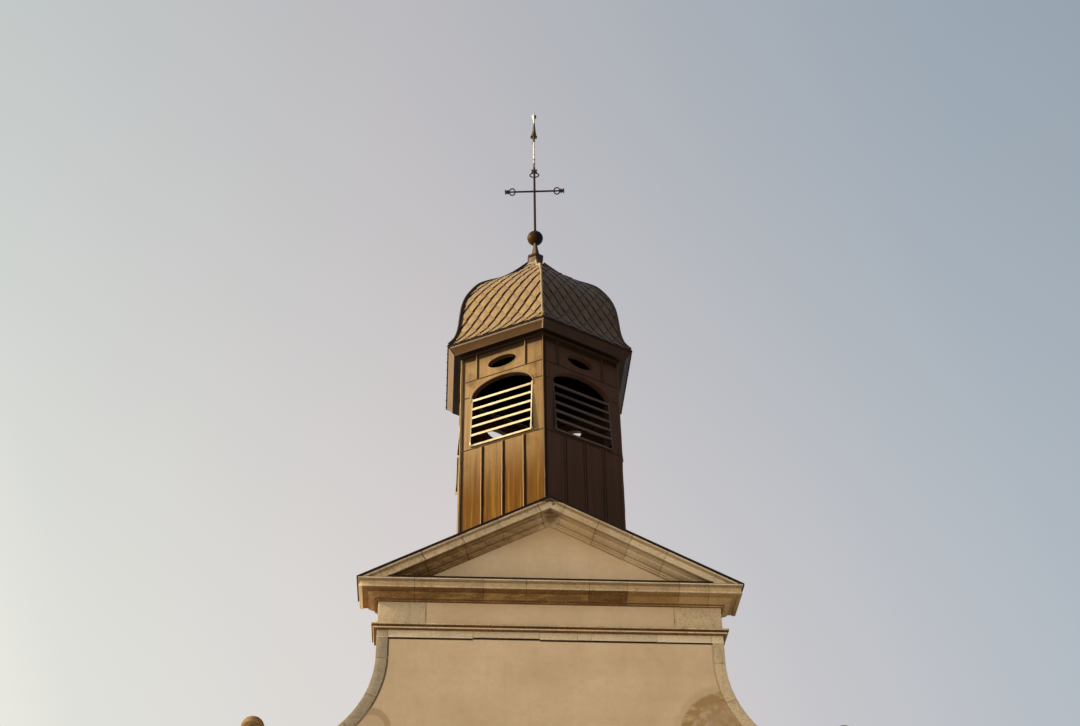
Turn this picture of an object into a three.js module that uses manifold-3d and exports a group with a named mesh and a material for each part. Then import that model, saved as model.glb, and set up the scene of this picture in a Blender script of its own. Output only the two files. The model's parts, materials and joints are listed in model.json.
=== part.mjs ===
// The upper stage of a classical church front with the hexagonal bell turret that stands behind it.
// Units are millimetres and +Z is up. The front faces -Y. The origin is at foot level on the
// front's centreline, in the plane of the frieze.
import * as THREE from 'three';
import Module from 'manifold-3d';
import { mergeVertices } from 'three/addons/utils/BufferGeometryUtils.js';

const wasm = await Module();
wasm.setup();

// The gap between pieces that touch, and how far a cutting shape runs past what it cuts.
const joint = 0.3;
const overcut = 10;

// The front wall, with the heights of its courses from the foot up.
const wallDepth = 625;
const upperDepth = 500;
const friezeHalfWidth = 3100;
const footHeight = 250;
const footHalfLength = 5450;
const footProjection = 60;
const stringTop = 2768;
const stringHeight = 100;
const bandHeight = 153;
const marginWidth = 200;
const plasterRecess = 20;
const friezeHeight = 463;
const friezeBlockLength = 850;
const friezeRecess = 8;
const corniceHeight = 306;
const corniceSoffit = 112;

// The concave shoulders and the ball finials at their ends.
const shoulderTop = 2150;
const pedestalX = 5150;
const pedestalHalfWidth = 245;
const pedestalHeight = 390;
const pedestalCap = 55;
const pedestalCapReach = 30;
const ballRadius = 206;
const ballCentreZ = 898;
const ballFootRadius = 130;
const ballFootHeight = 18;
const ballNeckRadius = 95;
const ballNeckHeight = 12;

// The pediment: its slope as a rise per unit of half-width, and its sloping cornice.
const pedimentRise = 0.515;
const pedimentApexZ = 5289;
const rakingHeight = 351;
const rakingSoffit = 156;
const corniceReach = 375;
const dripInner = 195;
const dripOuter = 285;
const dripDepth = 16;
const flashingThickness = 36;
const flashingReach = 395;

// The sheet cover on top of the cornice.
const coverThickness = 24;
const coverReach = 8;

// The front bay of the nave, which carries the turret.
const naveHalfWidth = 2850;
const naveWall = 500;
const naveEnd = 6000;
const roofRidgeZ = 5100;
const roofThickness = 180;
const roofHalfWidth = 3050;
const roofOverhang = 100;

// The turret: a regular hexagon with one corner to the front.
const turretY = 2900;
const turretRadius = 1920;
const turretWall = 120;
const turretTop = 10190;
const windowHalfWidth = 715;
const windowSill = 7850;
const windowSpringing = 9090;
const windowCrown = 9480;
const ovalZ = 9853;
const ovalHalfLength = 335;
const ovalHalfHeight = 145;

// The louvres: cheeks that lean out towards the sill, boards that rise inwards, and a low sill.
const louvreLean = 80;
const louvreBoard = 26;
const slatSpacing = 230;
const slatCount = 5;
const slatRise = THREE.MathUtils.degToRad(35);
const slatLip = 52;
const sillReach = 40;
const sillFront = 42;
const sillBack = 150;

// The turret's crown, with radii measured to the hexagon's corners.
const soffitZ = 10230;
const fasciaFootRadius = 2128;
const fasciaTopRadius = 2272;
const fasciaBead = 12;
const eavesRadius = 2302;
const eavesZ = 10395;
const roofShell = 110;
const roofInnerRadius = 1870;
const capZ = 13725;
const capHeight = 275;
const capRadius = 185;
const capLip = 22;
const neckZ = 14000;
const neckHeight = 434;
const neckFootRadius = 116;
const neckFootHeight = 25;
const neckTopRadius = 46;
const finialRadius = 188;
const finialZ = 14617;

// The wrought cross, which stands slightly turned, and its spindle.
const crossingZ = 16130;
const armLength = 720;
const barRadius = 20;
const rodRadius = 25;
const flangeRadius = 60;
const flangeHeight = 14;
const ringPlace = 540;
const ringHalfLength = 78;
const ringHalfWidth = 110;
const ringBar = 10;
const tipSetback = 45;
const tipHalfWidth = 52;
const tipBar = 14;
const knobRadius = 24;
const crossTurn = THREE.MathUtils.degToRad(-5);
const spindleTop = 17800;
const spindleTopRadius = 18;

// The pin at the spindle's top and the weathercock's sleeve around it.
const pinRadius = 11;
const pinLength = 300;
const sleeveRadius = 24;
const sleeveClearance = 2;
const sleeveCrown = 60;
const runningGap = 6;

const material = (color, roughness, metalness) => new THREE.MeshStandardMaterial({ color, roughness, metalness });
const stone = material('#b7a684', 0.85, 0);
const plaster = material('#b99a72', 0.9, 0);
const flashingMetal = material('#2b2520', 0.45, 0.6);
const roofMetal = material('#5d4a33', 0.5, 0.5);
const bronzeSheet = material('#8a6234', 0.45, 0.6);
const louvrePaint = material('#cdb98a', 0.6, 0);
const iron = material('#3a2c24', 0.6, 0.7);
const gilt = material('#8f7440', 0.4, 0.8);

// Turns a closed geometry into a solid with its faces outwards.
function solid(geometry) {
  const bare = geometry.clone();
  bare.deleteAttribute('normal');
  bare.deleteAttribute('uv');
  const merged = mergeVertices(bare, 1e-3);
  const points = merged.attributes.position;
  const corner = (i) => new THREE.Vector3().fromBufferAttribute(points, i);
  const triangles = [];
  let volume = 0;
  for (let i = 0; i < merged.index.count; i += 3) {
    const [a, b, c] = [0, 1, 2].map((step) => merged.index.getX(i + step));
    if (a === b || b === c || c === a) continue;
    volume += corner(a).dot(corner(b).cross(corner(c)));
    triangles.push([a, b, c]);
  }
  const outward = volume > 0 ? triangles : triangles.map(([a, b, c]) => [a, c, b]);
  return new wasm.Manifold(new wasm.Mesh({
    numProp: 3,
    vertProperties: Float32Array.from(points.array),
    triVerts: Uint32Array.from(outward.flat()),
  }));
}

// Makes a named mesh of a geometry or a solid.
function piece(name, look, shape) {
  const { vertProperties, triVerts } = (shape.isBufferGeometry ? solid(shape) : shape).getMesh();
  const indexed = new THREE.BufferGeometry();
  indexed.setAttribute('position', new THREE.BufferAttribute(vertProperties, 3));
  indexed.setIndex(new THREE.BufferAttribute(triVerts, 1));
  const geometry = indexed.toNonIndexed();
  geometry.computeVertexNormals();
  const mesh = new THREE.Mesh(geometry, look);
  mesh.name = name;
  return mesh;
}

// A box from its two opposite corners.
function box([x0, y0, z0], [x1, y1, z1]) {
  const geometry = new THREE.BoxGeometry(x1 - x0, y1 - y0, z1 - z0);
  return geometry.translate((x0 + x1) / 2, (y0 + y1) / 2, (z0 + z1) / 2);
}

const shapeOf = (points) => new THREE.Shape(points.map(([across, up]) => new THREE.Vector2(across, up)));

// A prism along Y from an upright outline, which is a shape or a list of (x, z) points.
function uprightPrism(outline, front, back) {
  const shape = outline instanceof THREE.Shape ? outline : shapeOf(outline);
  const depth = back - front;
  const geometry = new THREE.ExtrudeGeometry(shape, { depth, bevelEnabled: false, curveSegments: 24 });
  return geometry.rotateX(Math.PI / 2).translate(0, back, 0);
}

// A prism along X from a section of (y, z) points.
function sectionPrism(section, left, right) {
  const geometry = new THREE.ExtrudeGeometry(shapeOf(section), { depth: right - left, bevelEnabled: false });
  const sideways = new THREE.Matrix4().makeBasis(
    new THREE.Vector3(0, 1, 0),
    new THREE.Vector3(0, 0, 1),
    new THREE.Vector3(1, 0, 0),
  );
  return geometry.applyMatrix4(sideways).translate(left, 0, 0);
}

// A prism along Z from a plan of (x, y) points.
function planPrism(plan, low, high) {
  const depth = high - low;
  return new THREE.ExtrudeGeometry(shapeOf(plan), { depth, bevelEnabled: false }).translate(0, 0, low);
}

// A body turned about the Z axis from (radius, z) points. Six sides make a hexagon with a corner to the front.
function turned(profile, sides) {
  const points = profile.map(([radius, z]) => new THREE.Vector2(radius, z));
  return new THREE.LatheGeometry(points, sides).rotateX(Math.PI / 2);
}

const mirrored = (geometry) => geometry.clone().scale(-1, 1, 1);

// A moulded course across the whole front: its (projection, height) profile runs along the front and both ends.
function mouldedCourse(profile, base, depth) {
  const raised = profile.map(([out, up]) => [out, base + up]);
  const [low, high] = [raised[0][1], raised.at(-1)[1]];
  const longest = friezeHalfWidth + Math.max(...profile.map(([out]) => out));
  const alongFront = [...raised.map(([out, z]) => [-out, z]), [depth, high], [depth, low]];
  const rightEnd = raised.map(([out, z]) => [friezeHalfWidth + out, z]);
  const leftEnd = rightEnd.map(([x, z]) => [-x, z]).toReversed();
  return solid(sectionPrism(alongFront, -longest - overcut, longest + overcut))
    .intersect(solid(uprightPrism([...rightEnd, ...leftEnd], -longest, depth + overcut)));
}

// The cornice section as (projection, height): two fillets, ovolo, soffit, hollowed face and top fillet.
function corniceProfile(height, soffitHeight, soffit) {
  const fillet = 42;
  const bedMould = [
    [0, 0], [36, 5], [36, 29], [70, 29], [70, 55], [78, 62], [105, 72], [150, 88], [180, 100], [dripInner, 108],
  ];
  const face = [
    [352, soffitHeight], [350, soffitHeight + 30], [340, soffitHeight + 62], [332, soffitHeight + 94],
    [330, height - fillet - 2], [corniceReach, height - fillet], [corniceReach, height],
  ];
  return [...bedMould, ...soffit, ...face];
}

// The string course section: underside, roll, hollow and top fillet.
const stringReach = 100;
const stringProfile = [
  [12, 0], [45, 4], [62, 10], [72, 20], [72, 28], [66, 40], [48, 46], [48, 64], [stringReach, 66],
  [stringReach, stringHeight],
];

// Heights and places that follow from the courses.
const bandBottom = stringTop - stringHeight - bandHeight;
const friezeTop = stringTop + friezeHeight;
const corniceTop = friezeTop + corniceHeight;
const toeX = pedestalX - pedestalHalfWidth - joint;
const shoulderRadius = toeX - friezeHalfWidth;

// The horizontal cornice, with the drip groove cut round the front and both ends of its soffit.
function makeCornice() {
  const base = friezeTop + joint;
  const profile = corniceProfile(corniceHeight - joint, corniceSoffit, [[dripInner, corniceSoffit]]);
  const underside = base + corniceSoffit;
  const around = (out, extra) => {
    const half = friezeHalfWidth + out;
    const low = [-half, -out, underside - overcut - extra];
    const high = [half, upperDepth + overcut + extra, underside + dripDepth + extra];
    return solid(box(low, high));
  };
  const groove = around(dripOuter, 0).subtract(around(dripInner, overcut));
  return mouldedCourse(profile, base, upperDepth).subtract(groove);
}

// Points of a quarter round about the shoulder's centre, from the wall down to a given height.
function shoulderArc(radius, lowest) {
  const end = Math.min(Math.PI / 2, Math.asin(Math.min(1, (shoulderTop - lowest) / radius)));
  const steps = 20;
  return Array.from({ length: steps + 1 }, (_, i) => {
    const angle = (end * i) / steps;
    return [toeX - radius * Math.cos(angle), shoulderTop - radius * Math.sin(angle)];
  });
}

function makeFront() {
  const front = new THREE.Group();
  const floor = footHeight + joint;
  const marginTop = bandBottom - joint;

  const foot = box([-footHalfLength, -footProjection, 0], [footHalfLength, wallDepth, footHeight]);
  front.add(piece('foot_course', stone, foot));

  const marginInner = shoulderArc(shoulderRadius + marginWidth, floor);
  const margin = uprightPrism([
    [friezeHalfWidth, marginTop],
    ...shoulderArc(shoulderRadius, shoulderTop - shoulderRadius),
    [toeX, floor],
    ...marginInner.toReversed(),
    [friezeHalfWidth - marginWidth, marginTop],
  ], 0, wallDepth);
  front.add(piece('shoulder_margin_right', stone, margin));
  front.add(piece('shoulder_margin_left', stone, mirrored(margin)));

  const panelSide = shoulderArc(shoulderRadius + marginWidth + joint, floor);
  const panelRight = [[friezeHalfWidth - marginWidth - joint, marginTop], ...panelSide];
  const panelLeft = panelRight.map(([x, z]) => [-x, z]).toReversed();
  const panel = uprightPrism([...panelRight, ...panelLeft], plasterRecess, wallDepth);
  front.add(piece('front_wall', plaster, panel));

  const bandTop = stringTop - stringHeight - joint;
  const band = box([-friezeHalfWidth, 0, bandBottom], [friezeHalfWidth, wallDepth, bandTop]);
  front.add(piece('string_band', stone, band));
  front.add(piece('string_course', stone, mouldedCourse(stringProfile, stringTop - stringHeight, wallDepth)));

  const friezeFloor = stringTop + joint;
  const blockInner = friezeHalfWidth - friezeBlockLength;
  const block = box([blockInner, 0, friezeFloor], [friezeHalfWidth, upperDepth, friezeTop]);
  front.add(piece('frieze_block_right', stone, block));
  front.add(piece('frieze_block_left', stone, mirrored(block)));
  const middle = blockInner - joint;
  const frieze = box([-middle, friezeRecess, friezeFloor], [middle, upperDepth, friezeTop]);
  front.add(piece('frieze', plaster, frieze));
  front.add(piece('cornice', stone, makeCornice()));
  return front;
}

// The pediment's sloping top as a height at a distance from the centreline, less a thickness square to it.
const slopeAngle = Math.atan(pedimentRise);
const slopeHeight = (x, below = 0) => pedimentApexZ - pedimentRise * x - below / Math.cos(slopeAngle);

// Sweeps a section of (y, height above the slope) points down the right-hand slope, past both its ends.
function alongSlope(section) {
  const down = new THREE.Vector3(Math.cos(slopeAngle), 0, -Math.sin(slopeAngle));
  const up = new THREE.Vector3(Math.sin(slopeAngle), 0, Math.cos(slopeAngle));
  const spare = 1000;
  const depth = friezeHalfWidth + flashingReach + 2 * spare;
  const geometry = new THREE.ExtrudeGeometry(shapeOf(section), { depth, bevelEnabled: false });
  const axes = new THREE.Matrix4().makeBasis(new THREE.Vector3(0, 1, 0), up, down);
  const start = new THREE.Vector3(0, 0, pedimentApexZ).addScaledVector(down, -spare);
  return geometry.applyMatrix4(axes.setPosition(start));
}

function makePediment() {
  const pediment = new THREE.Group();
  const floor = corniceTop + joint;
  const reach = friezeHalfWidth + corniceReach;

  const underside = rakingHeight + joint;
  const tympanumEnd = (pedimentApexZ - underside / Math.cos(slopeAngle) - floor) / pedimentRise;
  const tympanum = [[-tympanumEnd, floor], [tympanumEnd, floor], [0, slopeHeight(0, underside)]];
  pediment.add(piece('tympanum', plaster, uprightPrism(tympanum, plasterRecess, upperDepth)));

  const drip = rakingSoffit + dripDepth;
  const soffit = [[dripInner, drip], [dripOuter, drip], [dripOuter, rakingSoffit]];
  const profile = corniceProfile(rakingHeight, rakingSoffit, soffit);
  const face = profile.map(([out, up]) => [-out, up - rakingHeight]);
  const section = [...face, [upperDepth, 0], [upperDepth, -rakingHeight]];
  const rakingRoom = box([joint / 2, -reach, floor], [reach, reach, pedimentApexZ]);
  const raking = solid(alongSlope(section)).intersect(solid(rakingRoom));

  // The cornice's cover stops short of the sloping cornice at every depth.
  const coverTop = floor + coverThickness;
  const endAt = (up) => (slopeHeight(0, rakingHeight - up) - coverTop) / pedimentRise - 1;
  const steps = profile.filter(([, up]) => up <= drip);
  const coverRight = [
    [endAt(0), plasterRecess - joint],
    ...steps.map(([out, up]) => [endAt(up), -out]),
    [endAt(rakingSoffit), -corniceReach - coverReach],
  ];
  const coverLeft = coverRight.map(([x, y]) => [-x, y]).toReversed();
  const corniceCover = planPrism([...coverRight, ...coverLeft], floor, coverTop);
  pediment.add(piece('cornice_flashing', flashingMetal, corniceCover));

  const sheetTop = joint + flashingThickness;
  const sheet = [
    [-flashingReach, joint], [upperDepth, joint], [upperDepth, sheetTop], [-flashingReach, sheetTop],
  ];
  const sheetRoom = box([joint / 2, -reach, 0], [friezeHalfWidth + flashingReach, reach, 2 * pedimentApexZ]);
  const cornerRoom = box([0, -reach, 0], [reach + joint, reach, floor]);
  const flashing = solid(alongSlope(sheet)).intersect(solid(sheetRoom)).subtract(solid(cornerRoom));

  const sides = [['right', (shape) => shape], ['left', (shape) => shape.mirror([1, 0, 0])]];
  for (const [side, facing] of sides) {
    pediment.add(piece(`raking_cornice_${side}`, stone, facing(raking)));
    pediment.add(piece(`rake_flashing_${side}`, flashingMetal, facing(flashing)));
  }
  return pediment;
}

function makeFinials() {
  const finials = new THREE.Group();
  const centreY = wallDepth / 2;
  const top = footHeight + pedestalHeight;
  const block = (half, low, high) => solid(box([-half, -half, low], [half, half, high]));
  const cap = block(pedestalHalfWidth + pedestalCapReach, top - pedestalCap, top);
  const pedestal = block(pedestalHalfWidth, footHeight + joint, top).add(cap);

  const foot = top + joint - ballCentreZ;
  const neck = foot + ballFootHeight;
  const profile = [
    [0, foot], [ballFootRadius, foot], [ballFootRadius, neck], [ballNeckRadius, neck + ballNeckHeight],
  ];
  const seat = Math.asin(ballNeckRadius / ballRadius);
  const steps = 14;
  for (let i = 0; i < steps; i += 1) {
    const angle = seat + ((Math.PI - seat) * i) / steps;
    profile.push([ballRadius * Math.sin(angle), -ballRadius * Math.cos(angle)]);
  }
  const ball = turned([...profile, [0, ballRadius]], 28);

  for (const [side, x] of [['right', pedestalX], ['left', -pedestalX]]) {
    const pair = new THREE.Group();
    pair.position.set(x, centreY, 0);
    const finial = piece(`ball_finial_${side}`, stone, ball);
    finial.position.z = ballCentreZ;
    pair.add(piece(`pedestal_${side}`, stone, pedestal), finial);
    finials.add(pair);
  }
  return finials;
}

// The nave roof's top as a height at a distance from the centreline, lowered by a given amount.
const roofHeight = (x, below = 0) => roofRidgeZ - pedimentRise * x - below;

function makeNave() {
  const nave = new THREE.Group();
  const start = upperDepth + joint;
  const inside = naveHalfWidth - naveWall;
  const eaves = roofHeight(naveHalfWidth, roofThickness + joint);
  const ridge = roofHeight(0, roofThickness + joint);

  const sideTop = [[naveHalfWidth, eaves], [inside, roofHeight(inside, roofThickness + joint)]];
  const whole = uprightPrism([[inside, 0], [naveHalfWidth, 0], ...sideTop], start, naveEnd - naveWall - joint);
  const frontRoom = box([0, 0, -overcut], [naveHalfWidth + overcut, wallDepth + joint, stringTop + joint]);
  const sideWall = solid(whole).subtract(solid(frontRoom));
  nave.add(piece('nave_wall_right', plaster, sideWall));
  nave.add(piece('nave_wall_left', plaster, sideWall.mirror([1, 0, 0])));

  const gable = [
    [-naveHalfWidth, 0], [naveHalfWidth, 0], [naveHalfWidth, eaves], [0, ridge], [-naveHalfWidth, eaves],
  ];
  nave.add(piece('nave_back_wall', plaster, uprightPrism(gable, naveEnd - naveWall, naveEnd)));

  const half = joint / 2;
  const slope = uprightPrism([
    [half, roofHeight(half)],
    [half, roofHeight(half, roofThickness)],
    [roofHalfWidth, roofHeight(roofHalfWidth, roofThickness)],
    [roofHalfWidth, roofHeight(roofHalfWidth)],
  ], start, naveEnd + roofOverhang);
  nave.add(piece('nave_roof_right', roofMetal, slope), piece('nave_roof_left', roofMetal, mirrored(slope)));
  return nave;
}

const apothem = turretRadius * Math.cos(Math.PI / 6);
const faceTurn = (face) => Math.PI / 6 + (face * Math.PI) / 3;

// The window opening of a turret wall under its half-oval head, seen square to the wall.
function windowShape() {
  const shape = new THREE.Shape();
  shape.moveTo(-windowHalfWidth, windowSill);
  shape.lineTo(windowHalfWidth, windowSill);
  shape.lineTo(windowHalfWidth, windowSpringing);
  shape.absellipse(0, windowSpringing, windowHalfWidth, windowCrown - windowSpringing, 0, Math.PI, false, 0);
  shape.closePath();
  return shape;
}

function ovalShape() {
  const shape = new THREE.Shape();
  shape.absellipse(0, ovalZ, ovalHalfLength, ovalHalfHeight, 0, 2 * Math.PI, false, 0);
  return shape;
}

// One wall of the turret, seen from the turret's axis, with its foot cut to the nave's roof.
function makeTurretWall(face) {
  const half = turretRadius / 2 - joint;
  const inner = half - turretWall * Math.tan(Math.PI / 6);
  const back = turretWall - apothem;
  const plan = [[-half, -apothem], [half, -apothem], [inner, back], [-inner, back]];
  const upright = planPrism(plan, roofHeight(turretRadius), turretTop);
  const through = [-apothem - overcut, back + overcut];

  const reach = 2 * turretRadius;
  const [low, high] = [roofHeight(reach) + joint, roofRidgeZ + joint];
  const roofOutline = [[-reach, 0], [reach, 0], [reach, low], [0, high], [-reach, low]];
  const roof = uprightPrism(roofOutline, -reach, reach).rotateZ(-faceTurn(face));
  return solid(upright)
    .subtract(solid(uprightPrism(windowShape(), ...through)))
    .subtract(solid(uprightPrism(ovalShape(), ...through)))
    .subtract(solid(roof));
}

// Louvre boards between their two cheeks, one closed set for each window.
function makeLouvre() {
  const half = windowHalfWidth - joint;
  const inside = turretWall - apothem;
  const floor = windowSill + joint;
  const top = windowSpringing - joint;
  const leanAt = (z) => louvreLean * (windowSpringing - z) / (windowSpringing - windowSill);
  const cheekSection = [[inside, floor], [-apothem - louvreLean, floor], [-apothem, top], [inside, top]];
  const cheek = sectionPrism(cheekSection, half - louvreBoard, half);
  const boardEnd = half - louvreBoard / 2;
  const across = (section) => solid(sectionPrism(section, -boardEnd, boardEnd));

  const sillNose = -apothem - sillReach;
  const sill = across([
    [sillNose, floor], [sillNose, floor + sillFront], [inside, floor + sillBack], [inside, floor],
  ]);
  let louvre = solid(cheek).add(solid(mirrored(cheek))).add(sill);
  for (let slat = 1; slat <= slatCount; slat += 1) {
    const lip = floor + slat * slatSpacing;
    const nose = -apothem - leanAt(lip);
    const back = nose + louvreBoard;
    const high = lip + (inside - nose) * Math.tan(slatRise);
    louvre = louvre.add(across([
      [nose, lip],
      [nose, lip + slatLip],
      [back, lip + slatLip],
      [inside, high + louvreBoard / Math.cos(slatRise)],
      [inside, high],
      [back, lip + louvreBoard * Math.tan(slatRise)],
    ]));
  }
  return louvre;
}

// The bell-shaped roof's outside from eaves to cap as (corner radius, height).
function bellCurve() {
  const knots = [
    [eavesRadius, 10415], [2110, 10690], [2022, 10990], [1985, 11330], [1935, 11670], [1840, 11965],
    [1690, 12240], [1500, 12500], [1240, 12715], [920, 12945], [620, 13230], [380, 13510], [205, capZ],
  ];
  const curve = new THREE.SplineCurve(knots.map(([radius, z]) => new THREE.Vector2(radius, z)));
  return curve.getPoints(36).map((point) => [point.x, point.y]);
}

function makeCrown() {
  const crown = new THREE.Group();
  const inner = turretRadius - turretWall / Math.cos(Math.PI / 6);
  const seat = turretTop + joint;
  const ringTop = eavesZ - joint;
  const necking = turretRadius + 70;
  const ring = [
    [inner, seat], [necking, seat], [necking, soffitZ], [fasciaFootRadius, soffitZ],
    [fasciaFootRadius, soffitZ + fasciaBead], [fasciaTopRadius, ringTop], [inner, ringTop], [inner, seat],
  ];
  crown.add(piece('turret_cornice', bronzeSheet, turned(ring, 6)));

  const hollow = bellCurve()
    .map(([radius, z]) => [radius - roofShell, z - roofShell])
    .filter(([radius]) => radius < roofInnerRadius && radius > 3 * roofShell)
    .toReversed();
  const outside = [[eavesRadius, eavesZ], ...bellCurve(), [0, capZ]];
  const innerFoot = [[roofInnerRadius, hollow.at(-1)[1]], [roofInnerRadius, eavesZ]];
  const underside = [[0, hollow[0][1] + roofShell], ...hollow, ...innerFoot];
  crown.add(piece('bell_roof', roofMetal, turned([...outside, ...underside, outside[0]], 6)));

  const capTop = capZ + capHeight - joint;
  const cap = [
    [0, capZ + joint], [capRadius, capZ + joint], [capRadius - 8, capTop - 70],
    [capRadius + capLip, capTop - 50], [capRadius + capLip, capTop], [0, capTop],
  ];
  crown.add(piece('roof_cap', bronzeSheet, turned(cap, 6)));

  const neckTop = neckZ + neckHeight;
  const neck = [[0, neckZ], [neckFootRadius, neckZ]];
  const flareSteps = 8;
  for (let i = 0; i <= flareSteps; i += 1) {
    const t = i / flareSteps;
    const radius = neckTopRadius + (neckFootRadius - neckTopRadius) * (1 - t) ** 1.25;
    neck.push([radius, neckZ + neckFootHeight + (neckHeight - neckFootHeight) * t]);
  }
  crown.add(piece('finial_neck', gilt, turned([...neck, [0, neckTop]], 6)));

  const seatDepth = finialZ - neckTop - joint;
  const seatAngle = Math.acos(seatDepth / finialRadius);
  const ball = [[0, -seatDepth]];
  const ballSteps = 16;
  for (let i = 0; i < ballSteps; i += 1) {
    const angle = seatAngle + ((Math.PI - seatAngle) * i) / ballSteps;
    ball.push([finialRadius * Math.sin(angle), -finialRadius * Math.cos(angle)]);
  }
  const finialBall = piece('finial_ball', gilt, turned([...ball, [0, finialRadius]], 32));
  finialBall.position.z = finialZ;
  crown.add(finialBall);
  return crown;
}

// A round bar between two (x, z) points of the cross's plane.
function bar(radius, from, to) {
  const start = new THREE.Vector3(from[0], 0, from[1]);
  const end = new THREE.Vector3(to[0], 0, to[1]);
  const geometry = new THREE.CylinderGeometry(radius, radius, start.distanceTo(end), 10);
  const direction = end.clone().sub(start).normalize();
  const swing = new THREE.Quaternion().setFromUnitVectors(new THREE.Vector3(0, 1, 0), direction);
  return geometry.applyQuaternion(swing).translate((from[0] + to[0]) / 2, 0, (from[1] + to[1]) / 2);
}

// The cross: a standing rod with a flange, two arms, and a ring, a short bar and three knobs at each tip.
function makeCross() {
  const foot = finialZ + finialRadius + joint;
  const pinTop = spindleTop + pinLength;
  const standing = [
    [0, foot], [flangeRadius, foot], [flangeRadius, foot + flangeHeight], [rodRadius, foot + flangeRadius],
    [rodRadius, spindleTop - 20], [spindleTopRadius, spindleTop], [pinRadius, spindleTop],
    [pinRadius, pinTop - 12], [0, pinTop],
  ];
  const arms = bar(barRadius, [-armLength, crossingZ], [armLength, crossingZ]);
  let cross = solid(turned(standing, 12)).add(solid(arms));
  for (const [alongX, alongZ] of [[-1, 0], [1, 0], [0, 1]]) {
    const at = (distance, across) => [
      alongX * distance + Math.abs(alongZ) * across,
      crossingZ + alongZ * distance + Math.abs(alongX) * across,
    ];
    const squash = ringHalfLength / ringHalfWidth;
    const [ringX, ringZ] = at(ringPlace, 0);
    const ring = new THREE.TorusGeometry(ringHalfWidth, ringBar, 6, 20)
      .scale(alongX ? squash : 1, alongZ ? squash : 1, 1)
      .rotateX(Math.PI / 2)
      .translate(ringX, 0, ringZ);
    const tip = armLength - tipSetback;
    cross = cross.add(solid(ring)).add(solid(bar(tipBar, at(tip, -tipHalfWidth), at(tip, tipHalfWidth))));
    for (const [distance, across] of [[tip, -tipHalfWidth], [armLength, 0], [tip, tipHalfWidth]]) {
      const [knobX, knobZ] = at(distance, across);
      cross = cross.add(solid(new THREE.SphereGeometry(knobRadius, 8, 6).translate(knobX, 0, knobZ)));
    }
  }
  return piece('cross', iron, cross);
}

// A flattened ball at an (x, z) point with its own half-sizes along, across and up.
function lump([x, z], [along, across, up]) {
  const ball = new THREE.SphereGeometry(1, 14, 10).rotateX(Math.PI / 2);
  return solid(ball.scale(along, across, up).translate(x, 0, z));
}

// The weathercock, its length along X before it is turned end-on to the front.
function makeWeathercock() {
  const sleeveFoot = spindleTop + runningGap;
  const pinTop = spindleTop + pinLength;
  const tube = (radius, low, high) => solid(turned([[0, low], [radius, low], [radius, high], [0, high]], 16));
  const sleeve = tube(sleeveRadius, sleeveFoot, pinTop + sleeveCrown);
  const hole = tube(pinRadius + sleeveClearance, sleeveFoot - overcut, pinTop + joint);

  const body = lump([-20, 18020], [175, 84, 95]);
  const breast = lump([70, 18085], [100, 54, 100]);
  const head = lump([195, 18500], [55, 46, 50]);
  const neckLine = new THREE.CatmullRomCurve3([
    new THREE.Vector3(80, 0, 18110),
    new THREE.Vector3(145, 0, 18230),
    new THREE.Vector3(178, 0, 18350),
    new THREE.Vector3(192, 0, 18480),
  ]);
  const neckSteps = 7;
  const neck = Array.from({ length: neckSteps + 1 }, (_, i) => {
    const t = i / neckSteps;
    const at = neckLine.getPoint(t);
    return lump([at.x, at.z], [80 - 35 * t, 46 - 26 * Math.sin((t * Math.PI) / 1.5), 65]);
  });

  const flat = (outline, thickness) => solid(uprightPrism(outline, -thickness / 2, thickness / 2));
  const comb = flat([
    [148, 18530], [130, 18575], [165, 18572], [176, 18612],
    [202, 18586], [226, 18610], [238, 18562], [222, 18525],
  ], 22);
  const beak = flat([[236, 18518], [304, 18494], [236, 18478]], 26);
  const wattle = flat([[212, 18475], [250, 18475], [244, 18405], [226, 18395]], 20);
  const tail = flat([
    [-110, 18070], [-230, 18190], [-290, 18350], [-300, 18520], [-355, 18450], [-380, 18330], [-430, 18370],
    [-425, 18230], [-485, 18230], [-420, 18110], [-450, 18060], [-350, 18000], [-200, 17960], [-60, 17980],
  ], 34);
  const legs = flat([[-60, 17950], [60, 17950], [34, 17850], [-34, 17850]], 40);
  return [breast, head, ...neck, comb, beak, wattle, tail, legs, sleeve]
    .reduce((whole, shape) => whole.add(shape), body)
    .subtract(hole);
}

function makeTurret() {
  const turret = new THREE.Group();
  turret.position.y = turretY;
  const louvre = makeLouvre();
  for (let face = 0; face < 6; face += 1) {
    const side = new THREE.Group();
    side.rotation.z = faceTurn(face);
    side.add(piece(`turret_wall_${face + 1}`, bronzeSheet, makeTurretWall(face)));
    side.add(piece(`louvre_${face + 1}`, louvrePaint, louvre));
    turret.add(side);
  }
  const cross = makeCross();
  cross.rotation.z = crossTurn;
  const weathercock = piece('weathercock', gilt, makeWeathercock());
  weathercock.rotation.z = -Math.PI / 2;
  turret.add(makeCrown(), cross, weathercock);
  return turret;
}

const group = new THREE.Group();
group.add(makeFront(), makePediment(), makeFinials(), makeNave(), makeTurret());

export default group;
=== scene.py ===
import json
import math
import random

import bmesh
import bpy
from mathutils import Matrix, Vector


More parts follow.
